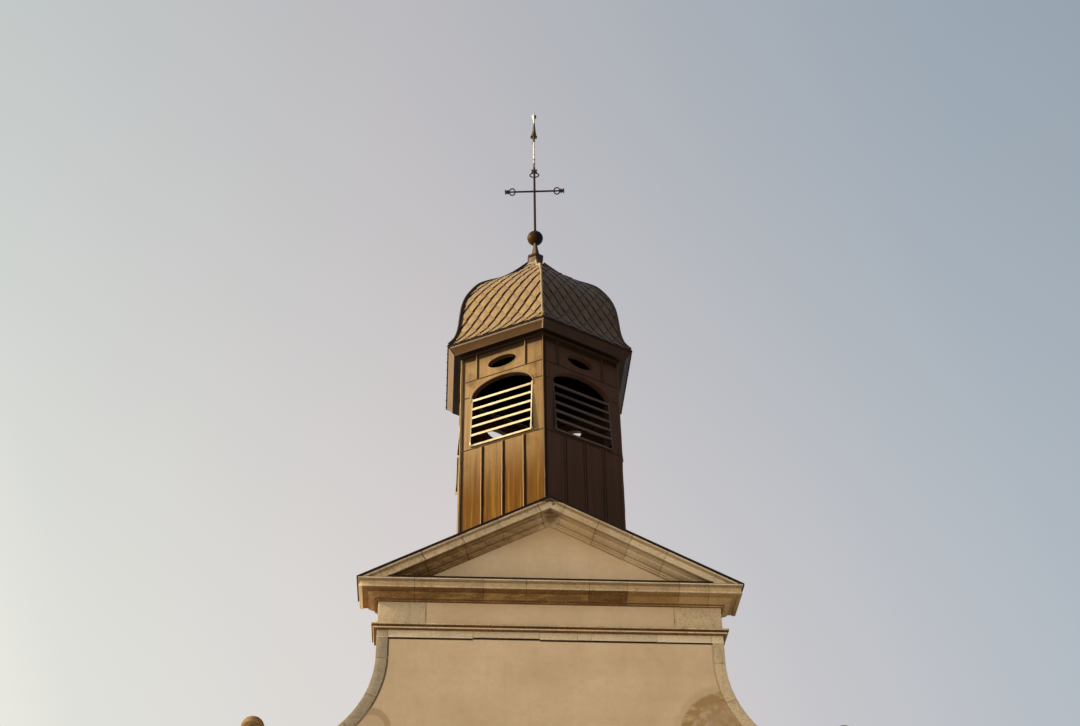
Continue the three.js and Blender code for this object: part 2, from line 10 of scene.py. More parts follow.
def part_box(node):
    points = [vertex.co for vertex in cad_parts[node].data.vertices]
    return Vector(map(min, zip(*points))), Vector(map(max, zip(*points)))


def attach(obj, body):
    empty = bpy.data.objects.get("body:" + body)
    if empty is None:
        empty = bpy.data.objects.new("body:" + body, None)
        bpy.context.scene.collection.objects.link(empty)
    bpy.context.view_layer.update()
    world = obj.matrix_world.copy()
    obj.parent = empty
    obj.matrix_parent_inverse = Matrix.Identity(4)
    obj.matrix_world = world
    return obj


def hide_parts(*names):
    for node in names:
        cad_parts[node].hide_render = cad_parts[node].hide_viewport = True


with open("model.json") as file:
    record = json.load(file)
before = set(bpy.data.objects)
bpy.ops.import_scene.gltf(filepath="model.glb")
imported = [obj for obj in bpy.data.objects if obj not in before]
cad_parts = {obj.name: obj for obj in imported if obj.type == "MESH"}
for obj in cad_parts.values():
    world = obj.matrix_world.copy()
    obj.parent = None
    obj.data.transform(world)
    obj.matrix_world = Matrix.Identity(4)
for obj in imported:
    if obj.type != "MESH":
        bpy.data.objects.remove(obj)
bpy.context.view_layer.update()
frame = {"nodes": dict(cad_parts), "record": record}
print("frame loaded:", len(frame["nodes"]), "nodes")


# One output of a node. Sums and products of outputs add Math nodes to the tree.
class Output:
    def __init__(self, maker, socket):
        self.maker = maker
        self.socket = socket

    def __add__(self, other):
        return self.maker.calc("ADD", self, other)

    def __radd__(self, other):
        return self.maker.calc("ADD", other, self)

    def __sub__(self, other):
        return self.maker.calc("SUBTRACT", self, other)

    def __rsub__(self, other):
        return self.maker.calc("SUBTRACT", other, self)

    def __mul__(self, other):
        return self.maker.calc("MULTIPLY", self, other)

    def __rmul__(self, other):
        return self.maker.calc("MULTIPLY", other, self)

    def __truediv__(self, other):
        return self.maker.calc("DIVIDE", self, other)

    def __pow__(self, other):
        return self.maker.calc("POWER", self, other)

    def part(self, name):
        return Output(self.maker, self.socket.node.outputs[name])


class NodeMaker:
    def __init__(self, tree):
        self.tree = tree
        tree.nodes.clear()

    # settings are set first, then the values or links of the sockets
    def node(self, kind, settings=None, inputs=None, output=0):
        made = self.tree.nodes.new(kind)
        for name, value in (settings or {}).items():
            if name == "stops":
                self.setStops(made.color_ramp, value)
            else:
                setattr(made, name, value)
        for name, value in (inputs or {}).items():
            self.feed(made.inputs[name], value)
        return Output(self, made.outputs[output]) if len(made.outputs) else None

    def feed(self, socket, value):
        if isinstance(value, Output):
            self.tree.links.new(value.socket, socket)
        elif value is not None:
            socket.default_value = (*value, 1.0) if socket.type == "RGBA" else value

    def setStops(self, colorRamp, stops):
        while len(colorRamp.elements) < len(stops):
            colorRamp.elements.new(1.0)
        for element, (place, colour) in zip(colorRamp.elements, stops):
            element.position = place
            element.color = (*colour, 1.0)

    def calc(self, operation, *values):
        return self.node("ShaderNodeMath", {"operation": operation}, dict(enumerate(values)))

    def higher(self, first, *others):
        for other in others:
            first = self.calc("MAXIMUM", first, other)
        return first

    def size(self, value):
        return self.calc("ABSOLUTE", value)

    def length(self, x, y):
        return (x * x + y * y) ** 0.5

    def vector(self, *values):
        return self.node("ShaderNodeCombineXYZ", {}, dict(enumerate(values)))

    def split(self, vector):
        x = self.node("ShaderNodeSeparateXYZ", {}, {0: vector})
        return x, x.part("Y"), x.part("Z")

    def place(self):
        return self.node("ShaderNodeTexCoord", output="Object")

    def attribute(self, name, output="Fac"):
        return self.node("ShaderNodeAttribute", {"attribute_name": name}, output=output)

    def noise(self, scale, detail, roughness=0.55, stretch=(1, 1, 1), shift=(0, 0, 0), swirl=0.0):
        inputs = {"Vector": self.place(), "Location": shift, "Scale": stretch}
        mapped = self.node("ShaderNodeMapping", {}, inputs)
        inputs = {"Vector": mapped, "Scale": scale, "Detail": detail, "Roughness": roughness}
        return self.node("ShaderNodeTexNoise", {}, {**inputs, "Distortion": swirl})

    # 0 at start, 1 at end, smooth between them
    def fade(self, value, start, end):
        inputs = {"Value": value, "From Min": start, "From Max": end}
        return self.node("ShaderNodeMapRange", {"interpolation_type": "SMOOTHSTEP"}, inputs)

    # 1 past a place, upward, or downward where soft is negative
    def past(self, value, place, soft):
        return self.fade(value, place, place + soft)

    # 1 within a distance of a value, 0 outside it
    def near(self, value, centre, reach, soft):
        return self.fade(self.size(value - centre), reach + soft, reach)

    def ramp(self, value, stops):
        return self.node("ShaderNodeValToRGB", {"stops": stops}, {0: value})

    def tint(self, factor, under, over, blend="MIX"):
        settings = {"data_type": "RGBA", "blend_type": blend}
        return self.node("ShaderNodeMix", settings, {0: factor, 6: under, 7: over}, output=2)

    # coats of a look's colours, each an amount and a name, from the lowest to the top one
    def coats(self, colour, look, *rows):
        for amount, name in rows:
            colour = self.tint(amount, colour, look[name])
        return colour

    def shade(self, colour, amount):
        return self.tint(1.0, colour, self.vector(amount, amount, amount), "MULTIPLY")

    # what varies over a surface; a bump is its height, distance and strength, the lowest first
    def surface(self, colour, roughness, *bumps):
        made = {"Base Color": colour, "Roughness": roughness}
        for height, distance, strength in bumps:
            inputs = {"Strength": strength, "Distance": distance, "Height": height}
            made["Normal"] = self.node("ShaderNodeBump", {}, {**inputs, "Normal": made.get("Normal")})
        return made


def newMaterial(name, cook, fixed):
    material = bpy.data.materials.new(name)
    material.use_nodes = True
    maker = NodeMaker(material.node_tree)
    shader = maker.node("ShaderNodeBsdfPrincipled", {}, {**fixed, **cook(maker)})
    maker.node("ShaderNodeOutputMaterial", {}, {"Surface": shader})
    return material


hands = (("right", 1), ("left", -1))

# The pediment's slope, which the sloping cornices and the nave's roof share.
pediment = {"apex": 5.289, "rise": 0.515, "roofApex": 5.1}
slope = math.atan(pediment["rise"])

# The quarter rounds of the shoulders, and the angles at which their margins are cut into stones.
shoulder = {"centreX": 4.9047, "centreZ": 2.15, "marginRadius": 2.0047, "angles": (1.0, 23.0, 44.0, 66.0)}

# The two soot colours stand for soot and also for painted shade under the mouldings and in their hollows.
# Black is also painted shadow, under the sloping cornices' flashing and under the band.
stoneLook = {
    "light": (0.74, 0.575, 0.355), "middle": (0.60, 0.452, 0.268), "pale": (0.86, 0.73, 0.52),
    "brown": (0.28, 0.180, 0.09), "ochre": (0.41, 0.250, 0.078), "golden": (0.66, 0.460, 0.200),
    "grey": (0.215, 0.200, 0.165), "soot": (0.245, 0.128, 0.043), "sootDark": (0.100, 0.040, 0.011),
    "black": (0.022, 0.012, 0.007),
    "grainHeight": 0.0025, "pitHeight": 0.012,
}


# Warm limestone. A zone adds coats of its own for the dirt and the weather on one kind of stone.
def limestone(zone=None):
    def cook(m):
        mottle = m.noise(7, 6, 0.68)
        grain = m.noise(75, 4, 0.7)
        spots = m.noise(19, 5, 0.72, (1, 1, 1.3), (0, 0, 3.3))
        speckle = m.noise(38, 3, 0.7, (1, 1, 1.2), (2.0, 0, 0))
        streak = m.noise(4.0, 5, 0.6, (1.7, 1.7, 0.3))
        pits = m.fade(m.noise(26, 4, 0.66), 0.58, 0.68)
        marks = []
        if zone:
            patch = m.fade(m.noise(3.6, 7, 0.72, (0.7, 1, 4.0)), 0.40, 0.62)
            marks = zone(m, *m.split(m.place()), patch)
        colour = m.coats(
            m.ramp(m.noise(0.9, 5), [(0.32, stoneLook["middle"]), (0.66, stoneLook["light"])]), stoneLook,
            (m.fade(mottle, 0.50, 0.72) * 0.55, "brown"), (m.fade(mottle, 0.44, 0.26) * 0.35, "pale"),
            (m.fade(streak, 0.52, 0.72) * 0.35, "brown"), (m.fade(spots, 0.54, 0.64) * 0.60, "brown"),
            (m.fade(spots, 0.44, 0.36) * 0.45, "pale"), (pits * 0.45, "brown"), *marks,
            (m.fade(speckle, 0.52, 0.62) * 0.34, "brown"), (m.fade(speckle, 0.46, 0.36) * 0.34, "golden"),
        )
        colour = m.shade(colour, 0.61 + 0.56 * grain + 0.16 * m.attribute("blockTone"))
        fine = (grain, stoneLook["grainHeight"], 0.7)
        coarse = (mottle - 0.7 * pits - 0.4 * spots, stoneLook["pitHeight"], 0.7)
        return m.surface(colour, 0.78 + 0.16 * grain, fine, coarse)

    return cook


# Heights of the cornice's mouldings, the front of its bed mould, and places along it where its marks change.
corniceMarks = {
    "foot": 3.240, "line": 3.260, "bed": 3.350, "bedFront": 3.380, "soffit": 3.420, "corona": 3.430,
    "hollow": 3.488, "fillet": 3.502, "topEdge": 3.521, "frontY": -0.345,
    "sootyFrom": 2.36, "sootiestFrom": 1.42, "darkest": 1.02, "leftReturn": -3.06, "leftEnd": -3.387,
}


def corniceZone(m, x, y, z, patch):
    at = corniceMarks
    front = m.past(y, at["frontY"], 0.010)
    bed = m.higher(m.past(z, at["bed"], -0.006), m.past(z, at["bedFront"], -0.010) * front)
    middle = m.past(x, at["sootiestFrom"], -0.06)
    soot = bed * (0.34 + 0.38 * m.past(x, at["sootyFrom"], -0.10) + 0.22 * middle)
    soot = soot * (1.0 - 0.15 * m.past(x, at["leftReturn"], -0.04))
    lines = m.higher(m.near(z, at["line"], 0.005, 0.004), m.past(z, at["foot"], -0.006)) * 0.8
    edge = m.near(z, at["bed"], 0.010, 0.008) * (0.25 + 0.35 * middle)
    darkest = m.near(x, at["darkest"], 0.33, 0.03) * 0.70
    hollow = m.near(z, at["hollow"], 0.015, 0.010) * 0.55
    # the fillet and the left end are painted pale as highlights, the lines at the foot and top of the bed and
    # the hollow under the fillet are painted shade, and the bed is darkened as soot and painted shade
    return [
        (m.near(z, at["corona"], 0.050, 0.010) * 0.42, "ochre"),
        (m.past(z, at["fillet"], 0.006) * 0.8, "pale"),
        (soot, "soot"),
        (soot * m.fade(patch, 0.5, 0.1) * 0.70, "ochre"),
        (soot * patch * 0.66, "sootDark"),
        (bed * (0.42 - 0.32 * middle), "ochre"),
        (bed * m.higher(darkest, lines, edge), "sootDark"),
        (m.past(x, at["leftEnd"], -0.008) * m.past(z, at["soffit"], -0.020) * 0.8, "pale"),
        (m.higher(hollow, m.past(z, at["topEdge"], 0.006) * 0.85), "sootDark"),
    ]


# Sloping cornices: where their stones meet, in metres from the middle, and how dark each joint shows.
# The marks are depths square to the slope, and places given as (x, z).
rakeCuts = {"right": (0.30, 0.92, 1.52, 2.15, 3.02), "left": (0.25, 0.98, 1.65, 2.36, 3.10)}
rakeJoints = {"right": (0.05, 0.55, 0.15, 0.35), "left": (0.70, 0.40, 0.90, 1.00)}
rakeMarks = {
    "fillet": 0.034, "hollow": 0.047, "bedFront": 0.148, "bed": 0.176, "lines": (0.200, 0.290),
    "frontY": -0.345, "stain": (0.04, 5.06), "spot": (0.06, 5.165), "ochreX": 0.62, "apexReach": 0.26,
}


def rakeZone(m, x, y, z, patch):
    at = rakeMarks
    depth = (pediment["apex"] - pediment["rise"] * m.size(x) - z) * math.cos(slope)
    front = m.past(y, at["frontY"], 0.010)
    bed = m.higher(m.past(depth, at["bed"], 0.016), m.past(depth, at["bedFront"], 0.010) * front)
    left = m.fade(x, 0.1, -0.4)
    soot = bed * (0.22 + 0.22 * left + 0.48 * m.fade(x, -0.2, -2.4))
    lines = m.higher(*(m.near(depth, line, 0.008, 0.008) for line in at["lines"])) * (0.38 + 0.17 * left)
    fromStain = m.length((x - at["stain"][0]) * 0.8, z - at["stain"][1])
    stain = m.fade(fromStain, 0.20, 0.08) * (0.45 + 0.45 * patch)
    spot = m.fade(m.length(x - at["spot"][0], z - at["spot"][1]), 0.034, 0.020) * 0.9
    under = m.fade(depth - 0.044 * m.fade(m.size(x), at["apexReach"], 0.03), 0.006, 0.000) * 0.9
    hollow = m.near(depth, at["hollow"], 0.015, 0.010) * 0.5
    run = m.size(x) * math.cos(slope) + (pediment["apex"] - z) * math.sin(slope)
    joints = []
    for hand, side in hands:
        onSide = m.calc("GREATER_THAN", side * x, 0.0)
        for place, dark in zip(rakeCuts[hand], rakeJoints[hand]):
            joints.append(m.near(run, place / math.cos(slope), 0.007, 0.006) * onSide * dark)
    # the top fillet is painted pale as a highlight, the lines across the bed and the hollow are painted
    # shade, the bed is darkened as soot and painted shade, and the black under the flashing is painted shadow
    return [
        (m.past(depth, at["fillet"], -0.004) * 0.5, "pale"),
        (soot, "soot"),
        (bed * m.higher(m.fade(patch, 0.5, 0.1) * 0.40, (1.0 - left) * 0.26), "ochre"),
        (bed * patch * (0.14 + 0.44 * left), "sootDark"),
        (left * 0.10, "brown"),
        ((1.0 - left) * 0.40, "pale"),
        ((1.0 - left) * 0.16, "golden"),
        (m.near(x, at["ochreX"], 0.34, 0.20) * 0.30, "ochre"),
        (m.higher(bed * m.higher(lines, stain), hollow), "sootDark"),
        (m.higher(*joints) * (0.50 + 0.40 * patch), "sootDark"),
        (m.higher(under, spot), "black"),
    ]


# The hollow of the string course and the foot of its roll are darkened as dirt and painted shade,
# and the roll is painted pale as a highlight.
stringMarks = {"hollow": 2.721, "roll": 2.700, "rollFoot": 2.681}


def stringZone(m, x, y, z, patch):
    at = stringMarks
    lines = m.higher(m.near(z, at["hollow"], 0.014, 0.004), m.past(z, at["rollFoot"], -0.005))
    roll = m.near(z, at["roll"], 0.012, 0.006) * 0.5
    return [(0.16, "ochre"), (roll, "pale"), (lines, "soot"), (lines * (0.64 + 0.3 * patch), "sootDark")]


# The feet of the band's stones from left to right, its lower edge and its left corner.
bandMarks = {
    "feet": (2.515, 2.525, 2.543, 2.526, 2.528, 2.527, 2.521, 2.515), "lowEdge": 2.556, "corner": -2.88,
}


def bandZone(m, x, y, z, patch):
    foot = m.fade(m.attribute("footRise"), 0.5, 0.9)
    left = m.fade(x, -0.6, -1.8) * m.fade(patch, 0.6, 0.2) * 0.30
    # the undersides of the stones are darkened as dirt and painted shade
    return [
        (0.46, "pale"),
        (m.higher(left, m.past(x, bandMarks["corner"], -0.03) * 0.40), "grey"),
        (m.past(z, bandMarks["lowEdge"], -0.020) * 0.45, "pale"),
        (foot, "sootDark"),
        (foot * 0.6, "black"),
    ]


def blockZone(m, x, y, z, patch):
    left = m.fade(x, 0.2, -0.2)
    return [(0.14 + 0.20 * left, "pale"), ((1.0 - left) * 0.12, "ochre")]


def marginZone(m, x, y, z, patch):
    left = m.fade(x, 0.2, -0.2)
    return [(0.10, "pale"), (0.03 + left * (0.46 + 0.16 * patch), "grey")]


# The ball finials have gone black and golden.
def ballZone(m, x, y, z, patch):
    return [(0.70, "ochre"), (0.25 + 0.65 * patch, "sootDark")]


# Plaster: trowelled lime, with damp rings low on the front and dark lines along the stones round it,
# which are dirt and painted shade.
plasterLook = {
    "light": (0.69, 0.52, 0.33), "dark": (0.57, 0.42, 0.25), "rosy": (0.56, 0.385, 0.245),
    "speck": (0.82, 0.66, 0.44), "damp": (0.340, 0.212, 0.078), "dampPink": (0.42, 0.285, 0.185),
    "joint": (0.085, 0.045, 0.020), "footDirtAndShadow": (0.036, 0.014, 0.004),
    "grainHeight": 0.0018, "trowelHeight": 0.012,
}
# The centres of the ring, the arc and the disk are given as (x, z), and their radii in metres.
plasterMarks = {
    "ring": (-3.12, 0.80), "ringRadius": 0.305, "arc": (3.12, 0.66), "arcRadius": 0.84,
    "disk": (3.03, 0.88), "diskRadius": 0.285, "shadeTop": 4.85, "frontY": 0.12,
    "foot": 2.526, "footHigh": 2.543, "highStone": (-0.795, 0.595), "bandTop": 2.60, "marginTop": 2.16,
    "marginX": 2.866, "blockX": 2.241, "blockFoot": 2.70,
}


def limePlaster(m):
    at = plasterMarks
    x, y, z = m.split(m.place())
    cloud = m.noise(0.75, 6, 0.6)
    blotch = m.noise(4.5, 6, 0.65)
    grain = m.noise(140, 3, 0.6)
    broad = m.noise(1.7, 5, 0.68, (1, 1, 1.7), (5.0, 0, 0))
    specks = m.fade(m.noise(30, 3, 0.6, (1, 1, 2.0)), 0.63, 0.70)
    trowel = m.noise(2.6, 4, 0.55, (0.7, 1, 1.5), swirl=1.4)
    streak = m.noise(3.0, 5, 0.6, (2.2, 2.2, 0.22))
    front = m.past(y, at["frontY"], -0.06)
    wobble = (blotch - 0.5) * 0.12 + (cloud - 0.5) * 0.10
    fromRing, fromArc, fromDisk = (
        m.length(x - at[name][0], z - at[name][1]) + wobble for name in ("ring", "arc", "disk")
    )
    ring = m.near(fromRing, at["ringRadius"], 0.045, 0.03) * front
    inArc = m.fade(fromArc, at["arcRadius"], 0.70) * front
    # a dark line of dirt and painted shade follows the stones of the band, whose feet are uneven, the margins
    # and the frieze blocks; under the band's feet it is painted shadow and dirt
    beside = 0.30 + 0.70 * m.fade(x, 0.2, -0.2)
    foot = at["foot"] + (at["footHigh"] - at["foot"]) * m.near(x, *at["highStone"], 0.002)
    footLine = m.fade(z - foot + 0.034, 0.000, 0.010)
    belowTop = m.past(z, at["bandTop"], -0.06)
    sideLine = m.past(m.size(x), at["marginX"], 0.010) * m.fade(z, 2.10, at["marginTop"]) * beside
    fromCentre = m.length(m.size(x) - shoulder["centreX"], z - shoulder["centreZ"]) - shoulder["marginRadius"]
    roundLine = m.past(fromCentre, 0.034, -0.010) * m.past(z, at["marginTop"], -0.06) * beside
    blockLine = m.near(m.size(x), at["blockX"], 0.010, 0.006) * m.past(z, at["blockFoot"], 0.02)
    blockLine = blockLine * (0.30 + 0.5 * m.fade(blotch, 0.44, 0.58))
    edgeDirtAndShade = m.higher(m.higher(footLine, sideLine) * belowTop, roundLine, blockLine) * front
    colour = m.coats(
        m.ramp(cloud, [(0.34, plasterLook["dark"]), (0.64, plasterLook["light"])]), plasterLook,
        (m.fade(blotch, 0.50, 0.68) * 0.42, "rosy"), (m.fade(broad, 0.50, 0.60) * 0.22, "rosy"),
        (specks * 0.30, "speck"), (m.fade(x, -1.9, -2.7) * front * 0.30, "dark"),
    )
    colour = m.coats(
        m.shade(colour, 0.84 + 0.22 * blotch + 0.12 * grain), plasterLook,
        (edgeDirtAndShade * 0.85, "joint"), (footLine * belowTop * front * 0.90, "footDirtAndShadow"),
        # darker towards the top of the gable: painted shade under the sloping cornices, in the damp colour
        (m.fade(streak, 0.55, 0.75) * 0.12, "damp"), (m.fade(z, 4.10, at["shadeTop"]) * 0.42, "damp"),
        (m.fade(fromRing, 0.30, 0.22) * front * 0.35, "dampPink"), (ring * 0.50, "dampPink"),
        (ring * 0.35, "damp"),
        (inArc * 0.48, "dampPink"), (inArc * m.fade(blotch, 0.36, 0.56) * 0.72, "damp"),
        (m.near(fromArc, 0.88, 0.12, 0.12) * front * 0.25, "damp"),
        (m.near(fromArc, at["arcRadius"], 0.07, 0.06) * front * m.fade(trowel, 0.30, 0.52) * 0.9, "damp"),
        (m.fade(fromDisk, 0.29, 0.25) * front * 0.42, "damp"),
        (m.near(fromDisk, at["diskRadius"], 0.030, 0.03) * front * 0.60, "dampPink"),
    )
    fine = (grain, plasterLook["grainHeight"], 0.6)
    coarse = (trowel + 0.3 * blotch, plasterLook["trowelHeight"], 0.6)
    return m.surface(colour, 0.86 + 0.1 * blotch, fine, coarse)


# The turret's hexagon, with a corner to the front.
turret = {"x": 0.0, "y": 2.9, "radius": 1.92, "top": 10.19, "soffit": 10.23}
apothem = turret["radius"] * math.cos(math.pi / 6)

# Seams of the turret's walls. Places along a wall run from -0.96 at its left corner to 0.96 at its right one.
wallSeams = {
    "lower": (-0.46, 0.02, 0.50), "upper": (-0.60, 0.55),
    "topJoint": 9.56, "sideJoint": 9.14, "sideJointFrom": 0.78, "sillJoint": 7.81,
    "standing": {"Proud": 0.032, "Breadth": 0.016, "Step": 0.22, "Wobble": 0.0035, "Seed": 4},
    "corner": {"Proud": 0.030, "Breadth": 0.016, "Step": 0.22, "Wobble": 0.0035, "Seed": 4},
    "flat": {"Proud": 0.008, "Breadth": 0.022, "Step": 0.3, "Wobble": 0.001, "Seed": 4},
}


# How far a point lies from the turret's axis, square to its side walls and square to its slanted ones.
def fromAxis(m, x, y):
    across = (y - turret["y"]) * math.sin(math.pi / 3)
    return m.size(x), m.higher(m.size(0.5 * x + across), m.size(0.5 * x - across))


# How far along its wall a point lies.
def alongWall(m, x, y):
    deep = y - turret["y"]
    across = deep * math.sin(math.pi / 3)
    towardB, towardC = 0.5 * x + across, 0.5 * x - across
    alongB = (math.cos(math.pi / 6) * x - 0.5 * deep) * m.calc("SIGN", 0.0 - towardB)
    alongC = (math.cos(math.pi / 6) * x + 0.5 * deep) * m.calc("SIGN", towardC)
    onC = m.calc("GREATER_THAN", m.size(towardC), m.size(towardB))
    onSide = m.calc("GREATER_THAN", m.size(x), m.higher(m.size(towardB), m.size(towardC)))
    slanted = alongC * onC + alongB * (1.0 - onC)
    return deep * m.calc("SIGN", x) * onSide + slanted * (1.0 - onSide)


# Sheet metal: golden bronze on the lit side and dark on the shaded side, lit and shaded copies painted in.
sheetLook = {
    "goldLow": (0.140, 0.060, 0.004), "goldHigh": (0.262, 0.170, 0.074), "goldDeep": (0.050, 0.020, 0.004),
    "pale": (0.300, 0.215, 0.120), "olive": (0.205, 0.122, 0.022), "orange": (0.118, 0.043, 0.002),
    "shadeLow": (0.053, 0.027, 0.017), "shadeHigh": (0.056, 0.030, 0.020),
    "shadowAndDirt": (0.012, 0.006, 0.003), "inside": (0.070, 0.030, 0.020),
    "streakHeight": 0.0015, "buckleHeight": 0.020,
    "panelPitch": 0.48, "firstPanel": -0.70, "thirdPanel": 0.26, "leftCorner": -0.94, "underEaves": 10.07,
}


# 1 on the lit side and 0 on the shaded side: it paints light and shade into the sheets as two copies
def sunnySide(m, x):
    return m.fade(x, 0.06, -0.06)


def wallSheet(m):
    look = sheetLook
    x, y, z = m.split(m.place())
    high = m.fade(z, 6.4, 8.2)
    low = 1.0 - high
    along = alongWall(m, x, y)
    streak = m.noise(3.0, 4, 0.55, (4.0, 4.0, 0.22))
    thin = m.noise(3.0, 3, 0.50, (4.6, 4.6, 0.15), (0, 0, 1.7))
    fine = m.noise(24.0, 4, 0.6, (3.0, 3.0, 0.30))
    blotch = m.noise(2.4, 5, 0.6)
    buckle = m.noise(1.6, 3, 0.5, (1.4, 1.4, 0.8))
    number = m.calc("FLOOR", (along - look["leftCorner"]) / look["panelPitch"])
    inputs = {"W": number * 1.7 + m.calc("SIGN", x) * 3.1}
    panel = m.node("ShaderNodeTexWhiteNoise", {"noise_dimensions": "1D"}, inputs)
    gold = m.coats(
        m.tint(high, look["goldLow"], look["goldHigh"]), look,
        (panel * low * 0.40, "goldDeep"),
        (m.near(along, look["thirdPanel"], 0.225, 0.010) * low * 0.72, "orange"),
        (m.near(along, look["firstPanel"], 0.225, 0.010) * low * 0.14, "goldDeep"),
        (m.fade(along, 0.70, 0.78) * high * 0.16, "goldDeep"),
        (m.fade(along, 0.68, 0.60) * high * 0.25, "pale"),
        (m.fade(blotch, 0.50, 0.70) * high * 0.45, "goldDeep"),
        (m.fade(thin, 0.55, 0.66) * (0.60 - 0.35 * high), "olive"),
        (m.fade(thin, 0.42, 0.33) * (0.65 - 0.45 * high), "goldDeep"),
    )
    colour = m.tint(sunnySide(m, x), m.tint(high, look["shadeLow"], look["shadeHigh"]), gold)
    colour = m.shade(colour, 0.52 + 0.22 * high + (0.76 - 0.36 * high) * streak + 0.20 * fine)
    # painted shadow beside the standing seams, at the left corner and under the eaves, with painted shade
    # growing towards the top; both are laid on the lit and the shaded side alike
    shadowAndDirt = [m.near(along, -0.912, 0.024, 0.010), m.past(z, look["underEaves"], 0.030) * 0.85]
    for place in wallSeams["lower"]:
        shadowAndDirt.append(m.near(along, place + 0.030, 0.020, 0.010) * m.past(z, wallSeams["sillJoint"], -0.03))
    for place in wallSeams["upper"]:
        shadowAndDirt.append(m.near(along, place + 0.024, 0.014, 0.008) * m.past(z, wallSeams["topJoint"], 0.03))
    colour = m.coats(
        colour, look,
        (m.higher(*shadowAndDirt) * 0.9, "shadowAndDirt"), (m.fade(z, 9.86, 10.06) * 0.26, "shadowAndDirt"),
        (m.past(m.higher(*fromAxis(m, x, y)), apothem - 0.002, -0.006), "inside"),
    )
    bumps = ((fine, look["streakHeight"], 0.4), (buckle, look["buckleHeight"], 0.5))
    return m.surface(colour, 0.40 + 0.18 * streak + 0.10 * fine, *bumps)


# The flat joints hold dirt; the standing seams and the front hip are painted pale as highlights on the lit
# side, and the other hips are painted dark as shade.
jointLook = {"sunny": (0.060, 0.030, 0.008), "shaded": (0.018, 0.008, 0.005)}
seamLook = {"sunny": (0.330, 0.210, 0.100), "shaded": (0.055, 0.026, 0.015)}
hipLook = {"sunny": (0.46, 0.36, 0.21), "shaded": (0.045, 0.027, 0.018)}
hipShadeLook = {"sunny": (0.030, 0.017, 0.010), "shaded": (0.030, 0.017, 0.010)}


def plainSheet(look):
    def cook(m):
        x, y, z = m.split(m.place())
        cloud = m.noise(11.0, 4, 0.6, (1, 1, 0.4))
        # a lit copy where x is below 0 and a shaded one beyond: painted light and shade
        colour = m.tint(sunnySide(m, x), look["shaded"], look["sunny"])
        return m.surface(m.shade(colour, 0.6 + 0.8 * cloud), 0.40 + 0.2 * cloud)

    return cook


def hipSheet(m):
    made = plainSheet(hipLook)(m)
    x, y, z = m.split(m.place())
    # every hip but the front one gets the dark colour of the shaded flanks, as painted shade
    beside = m.fade(y - turret["y"] + 1.2 * m.size(x), 0.0, 0.05) * 0.95
    made["Base Color"] = m.tint(beside, made["Base Color"], hipShadeLook["sunny"])
    return made


# The eaves cornice: a duller brown in a lit and a shaded copy, the face toward the light painted paler,
# painted shade black under its soffit and dark over its bed, a painted highlight on its upper edge and
# front corner, and dark mitres.
trimLook = {
    "sunny": (0.125, 0.066, 0.026), "side": (0.245, 0.168, 0.092), "shaded": (0.026, 0.012, 0.006),
    "soffit": (0.010, 0.005, 0.003), "bed": (0.035, 0.020, 0.010), "edge": (0.46, 0.34, 0.21),
    "edgeZ": 10.386, "edgeX": -0.014, "bedZ": 10.30, "bedReach": 0.080,
}


def trimSheet(m):
    look = trimLook
    x, y, z = m.split(m.place())
    cloud = m.noise(3.0, 5, 0.6)
    streak = m.noise(14.0, 4, 0.6, (1, 1, 0.4))
    side, slanted = fromAxis(m, x, y)
    fromMitre = side - slanted
    gold = m.coats(
        m.tint(m.fade(fromMitre, -0.004, 0.004), look["sunny"], look["side"]), look,
        (m.near(z, look["edgeZ"], 0.010, 0.006), "edge"), (m.near(x, look["edgeX"], 0.010, 0.006), "edge"),
    )
    colour = m.tint(m.fade(x, 0.02, -0.02), look["shaded"], gold)
    bed = m.past(m.higher(side, slanted), apothem + look["bedReach"], -0.010) * m.past(z, look["bedZ"], -0.02)
    mitre = m.near(fromMitre, -0.010, 0.008, 0.006)
    colour = m.coats(
        m.shade(colour, 0.55 + 0.50 * cloud + 0.40 * streak), look,
        (m.higher(mitre, m.near(z, turret["soffit"], 0.0030, 0.002)), "soffit"), (bed, "bed"),
    )
    return m.surface(colour, 0.42 + 0.2 * cloud, (cloud, 0.01, 0.4))


# The cap and neck above the roof, a lit and a shaded copy painted in, with a dark lip under the cap's top.
capLook = {
    "sunny": (0.172, 0.118, 0.072), "shaded": (0.045, 0.019, 0.014), "lip": (0.030, 0.013, 0.010),
    "lipZ": 13.968,
}


def capSheet(m):
    x, y, z = m.split(m.place())
    cloud = m.noise(9.0, 5, 0.6)
    colour = m.tint(m.fade(x, 0.030, -0.020), capLook["shaded"], capLook["sunny"])
    colour = m.shade(colour, 0.60 + 0.70 * cloud)
    colour = m.coats(colour, capLook, (m.near(z, capLook["lipZ"], 0.040, 0.006) * 0.85, "lip"))
    return m.surface(colour, 0.42 + 0.2 * cloud, (cloud, 0.006, 0.4))


# Shingles take a tone of their own from the roof's attributes, in a lit and a shaded copy painted in, and
# are dark in the folds between them, as dark gaps and painted shadow.
shingleLook = {
    "gold": (0.410, 0.270, 0.155), "goldDull": (0.260, 0.165, 0.080), "olive": (0.350, 0.260, 0.085),
    "greyed": (0.330, 0.270, 0.210), "shadeTone": (0.094, 0.062, 0.040), "shadeToneDull": (0.070, 0.045, 0.030),
    "fold": (0.014, 0.006, 0.004),
    "footZ": 10.452, "greyFrom": 12.7, "hipShadeBand": 0.026,
}


